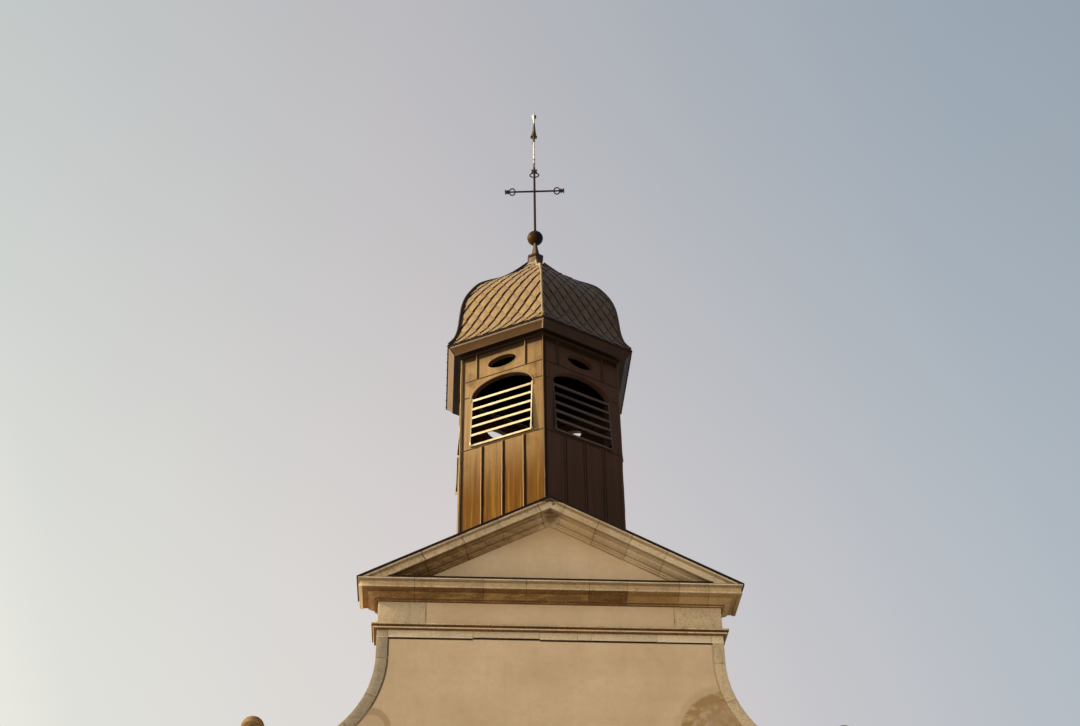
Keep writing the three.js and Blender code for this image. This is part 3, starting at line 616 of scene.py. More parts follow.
def shingleSheet(m):
    look = shingleLook
    x, y, z = m.split(m.place())
    sunny = sunnySide(m, x)
    tone = m.attribute("tileTone")
    rightward, leftward, _ = m.split(m.attribute("tilePlace", "Vector"))
    leftFold, rightFold, _ = m.split(m.attribute("tileFold", "Vector"))
    mottle = m.noise(9, 5, 0.65)
    patches = m.noise(11, 4, 0.6, (1, 1, 1), (0, 4.0, 0))
    fine = m.noise(60, 3, 0.6)
    gold = m.coats(
        m.tint(tone * 0.22 + mottle * 0.78, look["goldDull"], look["gold"]), look,
        (m.fade(patches, 0.46, 0.62) * 0.8, "olive"), (m.past(z, look["greyFrom"], 0.6) * 0.55, "greyed"),
    )
    colour = m.tint(sunny, m.tint(tone, look["shadeToneDull"], look["shadeTone"]), gold)
    # painted shadow: the lower right folds are darkest on the lit side, the lower left ones on the shaded
    # side
    rightGapShadow = m.higher(m.fade(leftward, 0.71, 0.77), m.fade(rightFold, 0.98, 0.60))
    leftGapShadow = m.higher(m.fade(rightward, 0.87, 0.92), m.fade(leftFold, 0.98, 0.60))
    # a band beside the left hip is painted dark as shade
    side, slanted = fromAxis(m, x, y)
    hipShadeBand = m.near(slanted - side, look["hipShadeBand"], 0.036, 0.012) * sunny * 0.96
    # the foot along the eaves is painted dark as shadow
    foot = m.past(z, look["footZ"] + 0.008, -0.008)
    folds = m.higher(rightGapShadow * (0.22 + 0.78 * sunny), leftGapShadow * (0.97 - 0.85 * sunny), foot, hipShadeBand)
    colour = m.coats(m.shade(colour, 0.50 + 0.72 * mottle + 0.26 * fine), look, (folds, "fold"))
    return m.surface(colour, 0.42 + 0.16 * mottle, (mottle + 0.3 * fine, 0.004, 0.4))


flashingLook = {"deep": (0.006, 0.003, 0.002), "worn": (0.026, 0.013, 0.007)}


def darkSheet(m):
    blotch = m.noise(5, 5, 0.6)
    colour = m.ramp(blotch, [(0.3, flashingLook["deep"]), (0.75, flashingLook["worn"])])
    return m.surface(colour, 0.42 + 0.2 * blotch, (blotch, 0.006, 0.5))


roofLook = {"dull": (0.075, 0.058, 0.042), "pale": (0.135, 0.108, 0.082)}


def roofSheet(m):
    blotch = m.noise(1.4, 6, 0.62)
    streak = m.noise(6, 4, 0.6, (1, 3, 1))
    colour = m.ramp(blotch, [(0.3, roofLook["dull"]), (0.72, roofLook["pale"])])
    return m.surface(m.shade(colour, 0.75 + 0.5 * streak), 0.45 + 0.2 * streak, (blotch, 0.01, 0.4))


# Louvre paint: faded cream that has worn off in places, with a darker copy on the right painted in as shade.
# Only the edges on the leaning front and the sill's nose are bright; the rest is painted dark as shade.
louvreLook = {
    "cream": (0.82, 0.72, 0.46), "dull": (0.60, 0.48, 0.26), "wood": (0.20, 0.13, 0.075),
    "shaded": (0.066, 0.048, 0.036), "deep": (0.022, 0.012, 0.009),
    "head": 9.09, "foot": 7.85, "lean": 0.08, "sillReach": 0.04, "leftCheek": -0.70,
}


def louvrePaint(m):
    look = louvreLook
    x, y, z = m.split(m.place())
    grain = m.noise(6, 5, 0.6, (1.2, 1.2, 6.0))
    wear = m.fade(m.noise(11, 6, 0.7, (1, 1, 2.2)), 0.60, 0.70)
    colour = m.coats(
        m.ramp(grain, [(0.32, look["dull"]), (0.62, look["cream"])]), look,
        (wear * 0.6, "wood"), (m.fade(x, -0.05, 0.05), "shaded"),
    )
    lean = (look["head"] - z) * (look["lean"] / (look["head"] - look["foot"]))
    out = m.higher(*fromAxis(m, x, y)) - apothem
    edges = m.fade(out - lean, -0.013, -0.005)
    nose = m.past(z, look["foot"] + 0.060, -0.010) * m.past(out, look["sillReach"] - 0.020, 0.008)
    leftCheek = m.near(alongWall(m, x, y), look["leftCheek"], 0.018, 0.004) * m.fade(z, 7.92, 7.94)
    colour = m.tint(m.higher(edges, nose) * (1.0 - 0.55 * leftCheek), look["deep"], colour)
    return m.surface(colour, 0.55 + 0.25 * grain, (grain - wear, 0.003, 0.6))


# Iron: brown rust on the cross, with old paint left on the spindle above it.
ironLook = {
    "rust": (0.042, 0.016, 0.011), "deep": (0.012, 0.007, 0.006), "paint": (0.66, 0.62, 0.50),
    "greenish": (0.05, 0.05, 0.022), "paintFrom": 16.85,
}


def oldIron(m):
    x, y, z = m.split(m.place())
    mottle = m.noise(16, 6, 0.7)
    flakes = m.noise(13, 4, 0.65, (1, 1, 0.55), (0, 0, 2.3))
    painted = m.past(z, ironLook["paintFrom"], 0.60)
    flaked = m.fade(flakes + 0.22 * painted, 0.56, 0.62)
    colour = m.coats(
        m.ramp(mottle, [(0.34, ironLook["deep"]), (0.62, ironLook["rust"])]), ironLook,
        (m.past(z, ironLook["paintFrom"], 0.10) * flaked, "paint"),
        (painted * m.fade(flakes, 0.56, 0.60), "greenish"),
    )
    return m.surface(colour, 0.52 + 0.3 * mottle, (mottle, 0.004, 0.6))


# The metal ball: old gold on the lit side and bluish black on the other, a lit and a shaded copy painted in.
giltLook = {"gold": (0.046, 0.024, 0.001), "brown": (0.034, 0.018, 0.003), "shaded": (0.009, 0.007, 0.013)}


def oldGilt(m):
    x, y, z = m.split(m.place())
    mottle = m.noise(14, 6, 0.66)
    gold = m.tint(m.fade(mottle, 0.50, 0.70) * 0.5, giltLook["gold"], giltLook["brown"])
    colour = m.tint(sunnySide(m, x), giltLook["shaded"], gold)
    return m.surface(colour, 0.38 + 0.22 * mottle, (mottle, 0.003, 0.5))


# The weathercock: dark, pale on its right side from mid-neck up, and pale in patches up its neck.
cockLook = {"dark": (0.020, 0.012, 0.009), "brown": (0.10, 0.060, 0.028), "pale": (0.72, 0.68, 0.56)}


def cockSheet(m):
    x, y, z = m.split(m.place())
    mottle = m.noise(18, 6, 0.68)
    barbs = m.noise(30, 3, 0.5, (1, 1, 3))
    neck = m.fade(mottle, 0.52, 0.44) * m.fade(z, 18.46, 18.42)
    pale = m.fade(z, 18.24, 18.32) * m.higher(neck, m.fade(x, 0.006, -0.012))
    colour = m.ramp(mottle, [(0.36, cockLook["dark"]), (0.70, cockLook["brown"])])
    colour = m.coats(colour, cockLook, (pale, "pale"))
    return m.surface(colour, 0.44 + 0.25 * mottle, (barbs + mottle, 0.004, 0.6))


# The constants of each kind of finish, with the materials that have them.
rough = {"Specular IOR Level": 0.15}
sheen = {"Metallic": 0.25, "Specular IOR Level": 0.20}
dullSheen = {"Metallic": 0.25, "Specular IOR Level": 0.06}
cooks = (
    (rough, "limestone", limestone()),
    (rough, "limestoneCornice", limestone(corniceZone)),
    (rough, "limestoneRake", limestone(rakeZone)),
    (rough, "limestoneString", limestone(stringZone)),
    (rough, "limestoneBand", limestone(bandZone)),
    (rough, "limestoneMargin", limestone(marginZone)),
    (rough, "limestoneBlock", limestone(blockZone)),
    (rough, "limestoneBall", limestone(ballZone)),
    (rough, "limePlaster", limePlaster),
    (dullSheen, "bronzeWallSheet", wallSheet),
    (sheen, "bronzeJoint", plainSheet(jointLook)),
    (sheen, "bronzeSeam", plainSheet(seamLook)),
    (sheen, "bronzeTrim", trimSheet),
    (sheen, "bronzeCap", capSheet),
    (sheen, "bronzeShingles", shingleSheet),
    (sheen, "bronzeHips", hipSheet),
    (sheen, "bronzeHipShade", plainSheet(hipShadeLook)),
    (rough, "darkFlashing", darkSheet),
    ({"Metallic": 0.5}, "naveRoofSheet", roofSheet),
    (rough, "louvrePaint", louvrePaint),
    (sheen, "oldIron", oldIron),
    (dullSheen, "oldGilt", oldGilt),
    (sheen, "cockSheet", cockSheet),
)
looks = {name: newMaterial(name, cook, fixed) for fixed, name, cook in cooks}

# The look of each of the record's material slots, and the nodes that differ from their slot.
slotLooks = {
    "stone": "limestone", "plaster": "limePlaster", "flashing": "darkFlashing", "roof_metal": "naveRoofSheet",
    "bronze_sheet": "bronzeWallSheet", "louvre_paint": "louvrePaint", "iron": "oldIron", "gilt": "oldGilt",
}
nodeLooks = {"bell_roof": "bronzeShingles", "turret_cornice": "bronzeTrim", "finial_neck": "bronzeCap"}
for row in frame["record"]["subparts"]:
    node = frame["nodes"][row["node"]]
    node.data.materials.clear()
    node.data.materials.append(looks[nodeLooks.get(row["node"], slotLooks[row["material_slot"]])])
print("materials made:", len(looks))


def newObject(name, mesh):
    piece = bpy.data.objects.new(name, mesh)
    bpy.context.scene.collection.objects.link(piece)
    return piece


def smoothBelow(mesh, degrees):
    mesh.shade_smooth()
    mesh.set_sharp_from_angle(angle=math.radians(degrees))


def meshFrom(name, shape, look, smoothAngle=30):
    mesh = bpy.data.meshes.new(name)
    shape.to_mesh(mesh)
    shape.free()
    mesh.materials.append(looks[look])
    smoothBelow(mesh, smoothAngle)
    return mesh


def settle(piece, body="building", instead=()):
    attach(piece, body)
    if instead:
        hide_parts(*instead)


# A merged copy of a frame node, with its flat faces whole again.
def copyOf(node):
    shape = bmesh.new()
    shape.from_mesh(frame["nodes"][node].data)
    bmesh.ops.remove_doubles(shape, verts=shape.verts, dist=2e-5)
    bmesh.ops.dissolve_limit(shape, angle_limit=math.radians(0.6), verts=shape.verts, edges=shape.edges)
    return shape


def softenEdges(shape, width, sharpest=24):
    limit = math.radians(sharpest)
    edges = [e for e in shape.edges if len(e.link_faces) == 2 and e.calc_face_angle(0) > limit]
    settings = {"segments": 2, "profile": 0.5, "affect": "EDGES", "clamp_overlap": True}
    bmesh.ops.bevel(shape, geom=edges, offset=width, **settings)


# Stone courses are cut into their stones, with an open joint between neighbours.
stones = {"joint": 0.005, "edge": 0.006, "fineEdge": 0.003, "bandEdge": 0.004, "setBack": 0.003, "seed": 11}


def keepSide(shape, point, normal):
    geometry = [*shape.verts, *shape.edges, *shape.faces]
    bmesh.ops.bisect_plane(shape, geom=geometry, dist=1e-6, plane_co=point, plane_no=normal, clear_outer=True)
    bmesh.ops.holes_fill(shape, edges=[e for e in shape.edges if e.is_boundary], sides=0)


def dressStones(node, cuts, look, edge=stones["edge"], feet=None):
    chance = random.Random(stones["seed"] + len(node))
    whole = copyOf(node)
    dressed = bmesh.new()
    toneLayer = dressed.verts.layers.float.new("blockTone")
    footLayer = dressed.verts.layers.float.new("footRise")
    for number, (before, after) in enumerate(zip([None, *cuts], [*cuts, None])):
        stone = whole.copy()
        for cut, side in ((before, -1), (after, 1)):
            if cut:
                point, normal = cut
                keepSide(stone, point - side * normal * stones["joint"] / 2, side * normal)
        if cuts:
            bmesh.ops.translate(stone, verts=stone.verts, vec=(0, chance.random() * stones["setBack"], 0))
        if feet:
            low = min(v.co.z for v in stone.verts)
            for vert in (v for v in stone.verts if v.co.z < low + 0.005):
                vert.co.z = feet[number]
        softenEdges(stone, edge)
        single = bpy.data.meshes.new("single")
        stone.to_mesh(single)
        stone.free()
        first = len(dressed.verts)
        dressed.from_mesh(single)
        bpy.data.meshes.remove(single)
        dressed.verts.ensure_lookup_table()
        tone = chance.uniform(-0.5, 0.5)
        low = min(v.co.z for v in dressed.verts[first:])
        for vert in dressed.verts[first:]:
            vert[toneLayer] = tone
            vert[footLayer] = 1.0 if vert.co.z < low + 0.002 else 0.0
    whole.free()
    name = node + "_stones"
    settle(newObject(name, meshFrom(name, dressed, look)), instead=[node])


def acrossX(*places):
    return [(Vector((x, 0, 0)), Vector((1, 0, 0))) for x in places]


# The sloping cornice is cut square to its slope, the shoulders towards their centre.
def downSlope(hand, side):
    normal = Vector((side * math.cos(slope), 0, -math.sin(slope)))
    return [(Vector((side * x, 0, pediment["apex"] - pediment["rise"] * x)), normal) for x in rakeCuts[hand]]


def roundShoulder(side):
    centre = Vector((side * shoulder["centreX"], 0, shoulder["centreZ"]))
    angles = [math.radians(degrees) for degrees in shoulder["angles"]]
    return [(centre, Vector((side * math.sin(angle), 0, -math.cos(angle)))) for angle in angles]


# where each course is cut, in metres from the middle
courseCuts = {
    "cornice": (-2.46, -1.22, -0.45, 0.68, 1.37, 2.315, 2.855),
    "string_course": (-2.2, -1.05, 0.10, 1.32, 2.45),
    "string_band": (-2.9, -1.39, -0.2, 0.47, 0.72, 1.9, 2.88),
    "foot_course": (-4.6, -3.45, -2.3, -1.1, 0.0, 1.15, 2.3, 3.4, 4.55),
}


def dressFront():
    cuts = {node: acrossX(*places) for node, places in courseCuts.items()}
    dressStones("cornice", cuts["cornice"], "limestoneCornice", stones["fineEdge"])
    for hand, side in hands:
        dressStones("raking_cornice_" + hand, downSlope(hand, side), "limestoneRake", stones["fineEdge"])
    dressStones("string_course", cuts["string_course"], "limestoneString", stones["fineEdge"])
    dressStones("string_band", cuts["string_band"], "limestoneBand", stones["bandEdge"], bandMarks["feet"])
    for hand, side in hands:
        dressStones("frieze_block_" + hand, [], "limestoneBlock")
    for hand, side in hands:
        dressStones("shoulder_margin_" + hand, roundShoulder(side), "limestoneMargin")
    dressStones("foot_course", cuts["foot_course"], "limestone")
    for hand, side in hands:
        dressStones("pedestal_" + hand, [], "limestone")


dressFront()
print("stone courses cut into stones")


# Paths for the trees below: polylines with the way they face and their thickness.
class Paths:
    def __init__(self):
        self.points = []
        self.links = []
        self.facing = []
        self.girth = []

    def add(self, points, facing=(0, -1, 0), girth=1.0, closed=False):
        first = len(self.points)
        count = len(points)
        self.points += [tuple(p) for p in points]
        self.links += [(first + i, first + i + 1) for i in range(count - 1)]
        if closed:
            self.links.append((first + count - 1, first))
        self.facing += [tuple(facing)] * count
        self.girth += list(girth) if hasattr(girth, "__len__") else [girth] * count

    def mesh(self, name):
        mesh = bpy.data.meshes.new(name)
        mesh.from_pydata(self.points, self.links, [])
        facing = mesh.attributes.new("facing", "FLOAT_VECTOR", "POINT")
        facing.data.foreach_set("vector", [c for f in self.facing for c in f])
        girth = mesh.attributes.new("girth", "FLOAT", "POINT")
        girth.data.foreach_set("value", self.girth)
        return mesh


# Points along an arc of an ellipse, as (across, up), with angles in degrees.
def arc(across, up, halfWidth, halfHeight, start, end, steps):
    angles = [math.radians(start + (end - start) * step / steps) for step in range(steps + 1)]
    return [(across + halfWidth * math.cos(angle), up + halfHeight * math.sin(angle)) for angle in angles]


def newTree(name, **inputs):
    tree = bpy.data.node_groups.new(name, "GeometryNodeTree")
    for label, kind in {"Geometry": "Geometry", **inputs}.items():
        tree.interface.new_socket(label, in_out="INPUT", socket_type="NodeSocket" + kind)
    tree.interface.new_socket("Geometry", in_out="OUTPUT", socket_type="NodeSocketGeometry")
    maker = NodeMaker(tree)
    return maker, maker.node("NodeGroupInput").part


def closeTree(maker, geometry, finish):
    real = maker.node("GeometryNodeRealizeInstances", {}, {"Geometry": geometry})
    done = maker.node("GeometryNodeSetMaterial", {}, {"Geometry": real, "Material": finish})
    maker.node("NodeGroupOutput", {}, {"Geometry": done})
    return maker.tree


# Runs a tree along paths and keeps the plain mesh it makes.
def grow(name, paths, tree, look, values, smoothAngle=30):
    piece = newObject(name, paths.mesh(name + "Paths"))
    modifier = piece.modifiers.new("grow", "NODES")
    modifier.node_group = tree
    values = {**values, "Finish": looks[look]}
    for item in tree.interface.items_tree:
        if item.in_out == "INPUT" and item.name in values:
            modifier[item.identifier] = values[item.name]
    depsgraph = bpy.context.evaluated_depsgraph_get()
    whole = piece.evaluated_get(depsgraph)
    grown = bpy.data.meshes.new_from_object(whole, preserve_all_data_layers=True, depsgraph=depsgraph)
    piece.modifiers.clear()
    piece.data = grown
    grown.name = name
    smoothBelow(grown, smoothAngle)
    return piece


# A rectangular fold along each path, standing proud of the face that the path lies on.
def foldTree():
    inputs = {"Proud": "Float", "Breadth": "Float", "Step": "Float", "Wobble": "Float"}
    m, given = newTree("foldAlongPath", **inputs, Seed="Int", Finish="Material")
    vectors = {"data_type": "FLOAT_VECTOR"}
    facing = m.node("GeometryNodeInputNamedAttribute", vectors, {"Name": "facing"})
    curve = m.node("GeometryNodeMeshToCurve", {}, {"Mesh": given("Geometry")})
    curve = m.node("GeometryNodeResampleCurve", {"mode": "LENGTH"}, {"Curve": curve, "Length": given("Step")})
    reach = given("Wobble")
    low = m.vector(*[reach * -1.0] * 3)
    high = m.vector(reach, reach, reach)
    shake = m.node("FunctionNodeRandomValue", vectors, {"Min": low, "Max": high, "Seed": given("Seed")})
    curve = m.node("GeometryNodeSetPosition", {}, {"Geometry": curve, "Offset": shake})
    curve = m.node("GeometryNodeSetCurveNormal", {"mode": "FREE"}, {"Curve": curve, "Normal": facing})
    sizes = {"Width": given("Proud") * 2.0, "Height": given("Breadth")}
    section = m.node("GeometryNodeCurvePrimitiveQuadrilateral", {}, sizes)
    rounding = {"Curve": section, "Radius": given("Breadth") * 0.2, "Count": 2}
    section = m.node("GeometryNodeFilletCurve", {"mode": "POLY"}, rounding)
    inputs = {"Curve": curve, "Profile Curve": section, "Fill Caps": True}
    return closeTree(m, m.node("GeometryNodeCurveToMesh", {}, inputs), given("Finish"))


# A round bar along each path, as thick as the path says.
def barTree():
    m, given = newTree("barAlongPath", Sides="Int", Finish="Material")
    girth = m.node("GeometryNodeInputNamedAttribute", {"data_type": "FLOAT"}, {"Name": "girth"})
    curve = m.node("GeometryNodeMeshToCurve", {}, {"Mesh": given("Geometry")})
    section = m.node("GeometryNodeCurvePrimitiveCircle", {}, {"Resolution": given("Sides"), "Radius": 1.0})
    inputs = {"Curve": curve, "Profile Curve": section, "Scale": girth, "Fill Caps": True}
    return closeTree(m, m.node("GeometryNodeCurveToMesh", {}, inputs), given("Finish"))


folds = foldTree()
bars = barTree()


# A point round the turret's axis, with the angle 0 at its front corner.
def roundAxis(radius, z, degrees=0.0):
    angle = math.radians(degrees - 90)
    return Vector((turret["x"] + radius * math.cos(angle), turret["y"] + radius * math.sin(angle), z))


def turnedAboutAxis(degrees):
    return Matrix.Translation((turret["x"], turret["y"], 0)) @ Matrix.Rotation(math.radians(degrees), 4, "Z")


# Points of a wall given as (across, up).
def onWall(face, points):
    space = turnedAboutAxis(30 + 60 * face)
    return [space @ Vector((s, -apothem, z)) for s, z in points]


def naveRoofAt(x):
    return pediment["roofApex"] - pediment["rise"] * abs(x)


def makeWallSeams():
    standing, flat, corner = Paths(), Paths(), Paths()
    half = turret["radius"] / 2
    top = turret["top"] - 0.005
    for face in range(6):
        facing = turnedAboutAxis(30 + 60 * face).to_3x3() @ Vector((0, -1, 0))
        for s in wallSeams["lower"]:
            foot = naveRoofAt(onWall(face, [(s, 0)])[0].x) + 0.01
            standing.add(onWall(face, [(s, foot), (s, wallSeams["sillJoint"] - 0.02)]), facing)
        for s in wallSeams["upper"]:
            standing.add(onWall(face, [(s, wallSeams["topJoint"] + 0.02), (s, top)]), facing)
        for z in (wallSeams["topJoint"], wallSeams["sillJoint"]):
            flat.add(onWall(face, [(-half + 0.02, z), (half - 0.02, z)]), facing)
        for side in (-1, 1):
            joint = [(side * s, wallSeams["sideJoint"]) for s in (wallSeams["sideJointFrom"], half - 0.02)]
            flat.add(onWall(face, joint), facing)
        foot = roundAxis(turret["radius"], 0, 60 * face)
        outward = (foot - roundAxis(0, 0)) / turret["radius"]
        corner.add([(foot.x, foot.y, naveRoofAt(foot.x) + 0.01), (foot.x, foot.y, top)], outward)
    settle(grow("wall_standing_seams", standing, folds, "bronzeSeam", wallSeams["standing"]))
    settle(grow("wall_flat_joints", flat, folds, "bronzeJoint", wallSeams["flat"]))
    settle(grow("wall_corner_seams", corner, folds, "bronzeSeam", wallSeams["corner"]))


# Folded rims round the window heads and the ovals: half widths and heights of the openings.
rims = {
    "springing": 9.09, "foot": 9.00, "headHalf": (0.715, 0.39),
    "ovalZ": 9.853, "ovalHalf": (0.335, 0.145),
    "head": {"Proud": 0.012, "Breadth": 0.034, "Step": 0.05},
    "oval": {"Proud": 0.007, "Breadth": 0.026, "Step": 0.04},
}


def makeRims():
    heads, ovals = Paths(), Paths()
    halfWidth, rise = (half + rims["head"]["Breadth"] / 2 for half in rims["headHalf"])
    ovalHalf = [half + rims["oval"]["Breadth"] / 2 for half in rims["ovalHalf"]]
    arch = arc(0, rims["springing"], halfWidth, rise, 0, 180, 32)
    head = [(halfWidth, rims["foot"]), *arch, (-halfWidth, rims["foot"])]
    oval = arc(0, rims["ovalZ"], *ovalHalf, 0, 360, 40)[:-1]
    for face in range(6):
        facing = turnedAboutAxis(30 + 60 * face).to_3x3() @ Vector((0, -1, 0))
        heads.add(onWall(face, head), facing)
        ovals.add(onWall(face, oval), facing, closed=True)
    settle(grow("window_rims", heads, folds, "bronzeWallSheet", rims["head"]))
    settle(grow("oval_rims", ovals, folds, "bronzeWallSheet", rims["oval"]))


makeWallSeams()
makeRims()
print("turret walls seamed")

# Each louvre gets softened board edges.
boards = {"count": 6, "edge": 0.004}


def dressLouvres():
    for number in range(1, boards["count"] + 1):
        node = f"louvre_{number}"
        shape = copyOf(node)
        softenEdges(shape, boards["edge"])
        name = node + "_boards"
        settle(newObject(name, meshFrom(name, shape, "louvrePaint")), instead=[node])


dressLouvres()

# The bell roof: lozenge shingles laid from the eaves to the cap on each of its six sides. The knots of
# its outline are (radius, z) in metres.
bell = {
    "knots": (
        (2.302, 10.415), (2.110, 10.690), (2.022, 10.990), (1.985, 11.330), (1.935, 11.670), (1.840, 11.965),
        (1.690, 12.240), (1.500, 12.500), (1.240, 12.715), (0.920, 12.945), (0.620, 13.230), (0.380, 13.510),
        (0.205, 13.725),
    ),
    "shingle": {"Width": 0.2825, "Rise": 0.2105, "Lift": 0.020, "Skirt": 0.006, "Columns": 10, "Seed": 7},
    "firstRow": -1.0, "cells": 5,
    "hip": {"Proud": 0.052, "Breadth": 0.050, "Step": 0.08},
    "flankFrom": 0.30,
}


# A Catmull-Rom curve through the knots, as the frame's roof has it.
def bellPoints(steps=36):
    knots = [Vector(k) for k in bell["knots"]]
    points = []
    for step in range(steps + 1):
        at = step / steps * (len(knots) - 1)
        low = min(int(at), len(knots) - 2)
        t = at - low
        p0 = knots[max(low - 1, 0)]
        p1, p2 = knots[low], knots[low + 1]
        p3 = knots[min(low + 2, len(knots) - 1)]
        v0, v1 = (p2 - p0) * 0.5, (p3 - p1) * 0.5
        cubic = 2 * p1 - 2 * p2 + v0 + v1
        square = -3 * p1 + 3 * p2 - 2 * v0 - v1
        points.append(cubic * t**3 + square * t**2 + v0 * t + p1)
    return points


def shingleTree():
    inputs = {"Width": "Float", "Rise": "Float", "Lift": "Float", "Skirt": "Float"}
    m, given = newTree("lozengeShingles", **inputs, Columns="Int", Rows="Int", Seed="Int", Finish="Material")
    cells = bell["cells"]

    def gridOf(columns, rows):
        inputs = {"Size X": 1.0, "Size Y": 1.0, "Vertices X": columns, "Vertices Y": rows}
        return m.node("GeometryNodeMeshGrid", {}, inputs)

    # the first row and column of the grid are the folded edge, which drops to the roof
    x, y, _ = m.split(m.node("GeometryNodeInputPosition"))
    a, b = (m.higher(0.0, side * cells + (cells / 2 - 1.0)) * (1.0 / (cells - 1)) for side in (x, y))
    foldA, foldB = (m.fade(side, -0.5, -0.5 + 0.9 / cells) for side in (x, y))
    low = 1.0 - m.higher(a, b)
    height = foldA * foldB * (given("Lift") * low ** 0.55 + given("Skirt")) - given("Skirt")
    tile = gridOf(cells + 1, cells + 1)
    settings = {"data_type": "FLOAT_VECTOR", "domain": "POINT"}
    for name, mark in (("tilePlace", m.vector(a, b)), ("tileFold", m.vector(foldA, foldB))):
        inputs = {"Geometry": tile, "Name": name, "Value": mark}
        tile = m.node("GeometryNodeStoreNamedAttribute", settings, inputs)
    shaped = m.vector((a - b) * (given("Width") * 0.5), (a + b) * given("Rise"), height)
    tile = m.node("GeometryNodeSetPosition", {}, {"Geometry": tile, "Position": shaped})
    # every other row is shifted by half a shingle
    index = m.node("GeometryNodeInputIndex")
    column = m.calc("FLOOR", (index + 0.5) / given("Rows"))
    row = index - column * given("Rows")
    across = (column - (given("Columns") - 1.0) * 0.5 + m.calc("MODULO", row, 2.0) * 0.5) * given("Width")
    places = m.vector(across, (row + bell["firstRow"]) * given("Rise"), 0.0)
    lattice = gridOf(given("Columns"), given("Rows"))
    lattice = m.node("GeometryNodeSetPosition", {}, {"Geometry": lattice, "Position": places})

    def chance(low, high, seed):
        return m.node("FunctionNodeRandomValue", {}, {2: low, 3: high, "Seed": seed}, output=1)

    swell = m.vector(1.0, 1.0, chance(0.80, 1.15, given("Seed")))
    tiles = m.node("GeometryNodeInstanceOnPoints", {}, {"Points": lattice, "Instance": tile, "Scale": swell})
    settings = {"data_type": "FLOAT", "domain": "INSTANCE"}
    inputs = {"Geometry": tiles, "Name": "tileTone", "Value": chance(0.0, 1.0, given("Seed") + 5.0)}
    tiles = m.node("GeometryNodeStoreNamedAttribute", settings, inputs)
    tiles = m.node("GeometryNodeRealizeInstances", {}, {"Geometry": tiles})
    # what lies below the eaves goes, and the rest is bent to the roof's outline
    s, t, h = m.split(m.node("GeometryNodeInputPosition"))
    below = m.node("FunctionNodeCompare", {"operation": "LESS_THAN"}, {0: t, 1: -0.001})
    tiles = m.node("GeometryNodeDeleteGeometry", {}, {"Geometry": tiles, "Selection": below})
    outline = m.node("GeometryNodeMeshToCurve", {}, {"Mesh": given("Geometry")})
    inputs = {"Curves": outline, "Length": t}
    sample = m.node("GeometryNodeSampleCurve", {"mode": "LENGTH"}, inputs, output="Position")
    radius, _, z = m.split(sample)
    alongR, _, alongZ = m.split(sample.part("Tangent"))
    bent = m.vector(s, 0.0 - radius - alongZ * h, z - alongR * h)
    tiles = m.node("GeometryNodeSetPosition", {}, {"Geometry": tiles, "Position": bent})
    return closeTree(m, tiles, given("Finish"))


def makeShingles():
    outline = Paths()
    points = bellPoints()
    outline.add([(p.x * math.cos(math.pi / 6), 0, p.y) for p in points])
    run = sum((Vector(b) - Vector(a)).length for a, b in zip(outline.points, outline.points[1:]))
    values = {**bell["shingle"], "Rows": int(run / bell["shingle"]["Rise"]) + 1}
    piece = grow("bell_shingles", outline, shingleTree(), "bronzeShingles", values)
    side = bmesh.new()
    side.from_mesh(piece.data)
    for hand in (-1, 1):
        hip = Vector((hand * math.cos(math.pi / 6), math.sin(math.pi / 6), 0))
        geometry = [*side.verts, *side.edges, *side.faces]
        bmesh.ops.bisect_plane(side, geom=geometry, plane_co=(0, 0, 0), plane_no=hip, clear_outer=True)
    sideMesh = bpy.data.meshes.new("side")
    side.to_mesh(sideMesh)
    side.free()
    whole = bmesh.new()
    for face in range(6):
        turned = sideMesh.copy()
        turned.transform(turnedAboutAxis(30 + 60 * face))
        whole.from_mesh(turned)
        bpy.data.meshes.remove(turned)
    bpy.data.meshes.remove(sideMesh)
    piece.data = meshFrom("bell_shingles", whole, "bronzeShingles", 40)
    settle(piece)


# The rolls on the hips. Faces that turn right, away from the light, get a dark painted shade material.
def makeHips():
    hips = Paths()
    for corner in range(6):
        outward = roundAxis(1, 0, 60 * corner) - roundAxis(0, 0)
        line = [roundAxis(p.x, p.y, 60 * corner) for p in bellPoints()[1:]]
        hips.add(line, outward * 0.8 + Vector((0, 0, 0.6)))
    rolls = grow("bell_hip_rolls", hips, folds, "bronzeHips", bell["hip"], 50)
    rolls.data.materials.append(looks["bronzeHipShade"])
    for polygon in rolls.data.polygons:
        polygon.material_index = 1 if polygon.normal.x > bell["flankFrom"] else 0
    settle(rolls)


makeShingles()
makeHips()
print("bell roof shingled")


# A body of many sides about an upright axis, from (radius, z) points.
def turnedBody(name, profile, sides, look, smoothAngle=30, edge=0.0, x=turret["x"], y=turret["y"]):
    shape = bmesh.new()
    rings = []
    for radius, z in profile:
        ring = []
        for i in range(sides if radius > 1e-6 else 1):
            angle = math.radians(-90) + 2 * math.pi * i / sides
            ring.append(shape.verts.new((x + radius * math.cos(angle), y + radius * math.sin(angle), z)))
        rings.append(ring)
    for low, high in zip(rings, rings[1:]):
        for i in range(sides):
            j = (i + 1) % sides
            corners = [low[i % len(low)], low[j % len(low)], high[j % len(high)], high[i % len(high)]]
            unique = list(dict.fromkeys(corners))
            if len(unique) > 2:
                shape.faces.new(unique)
    bmesh.ops.recalc_face_normals(shape, faces=shape.faces)
    if edge:
        softenEdges(shape, edge)
    return newObject(name, meshFrom(name, shape, look, smoothAngle))


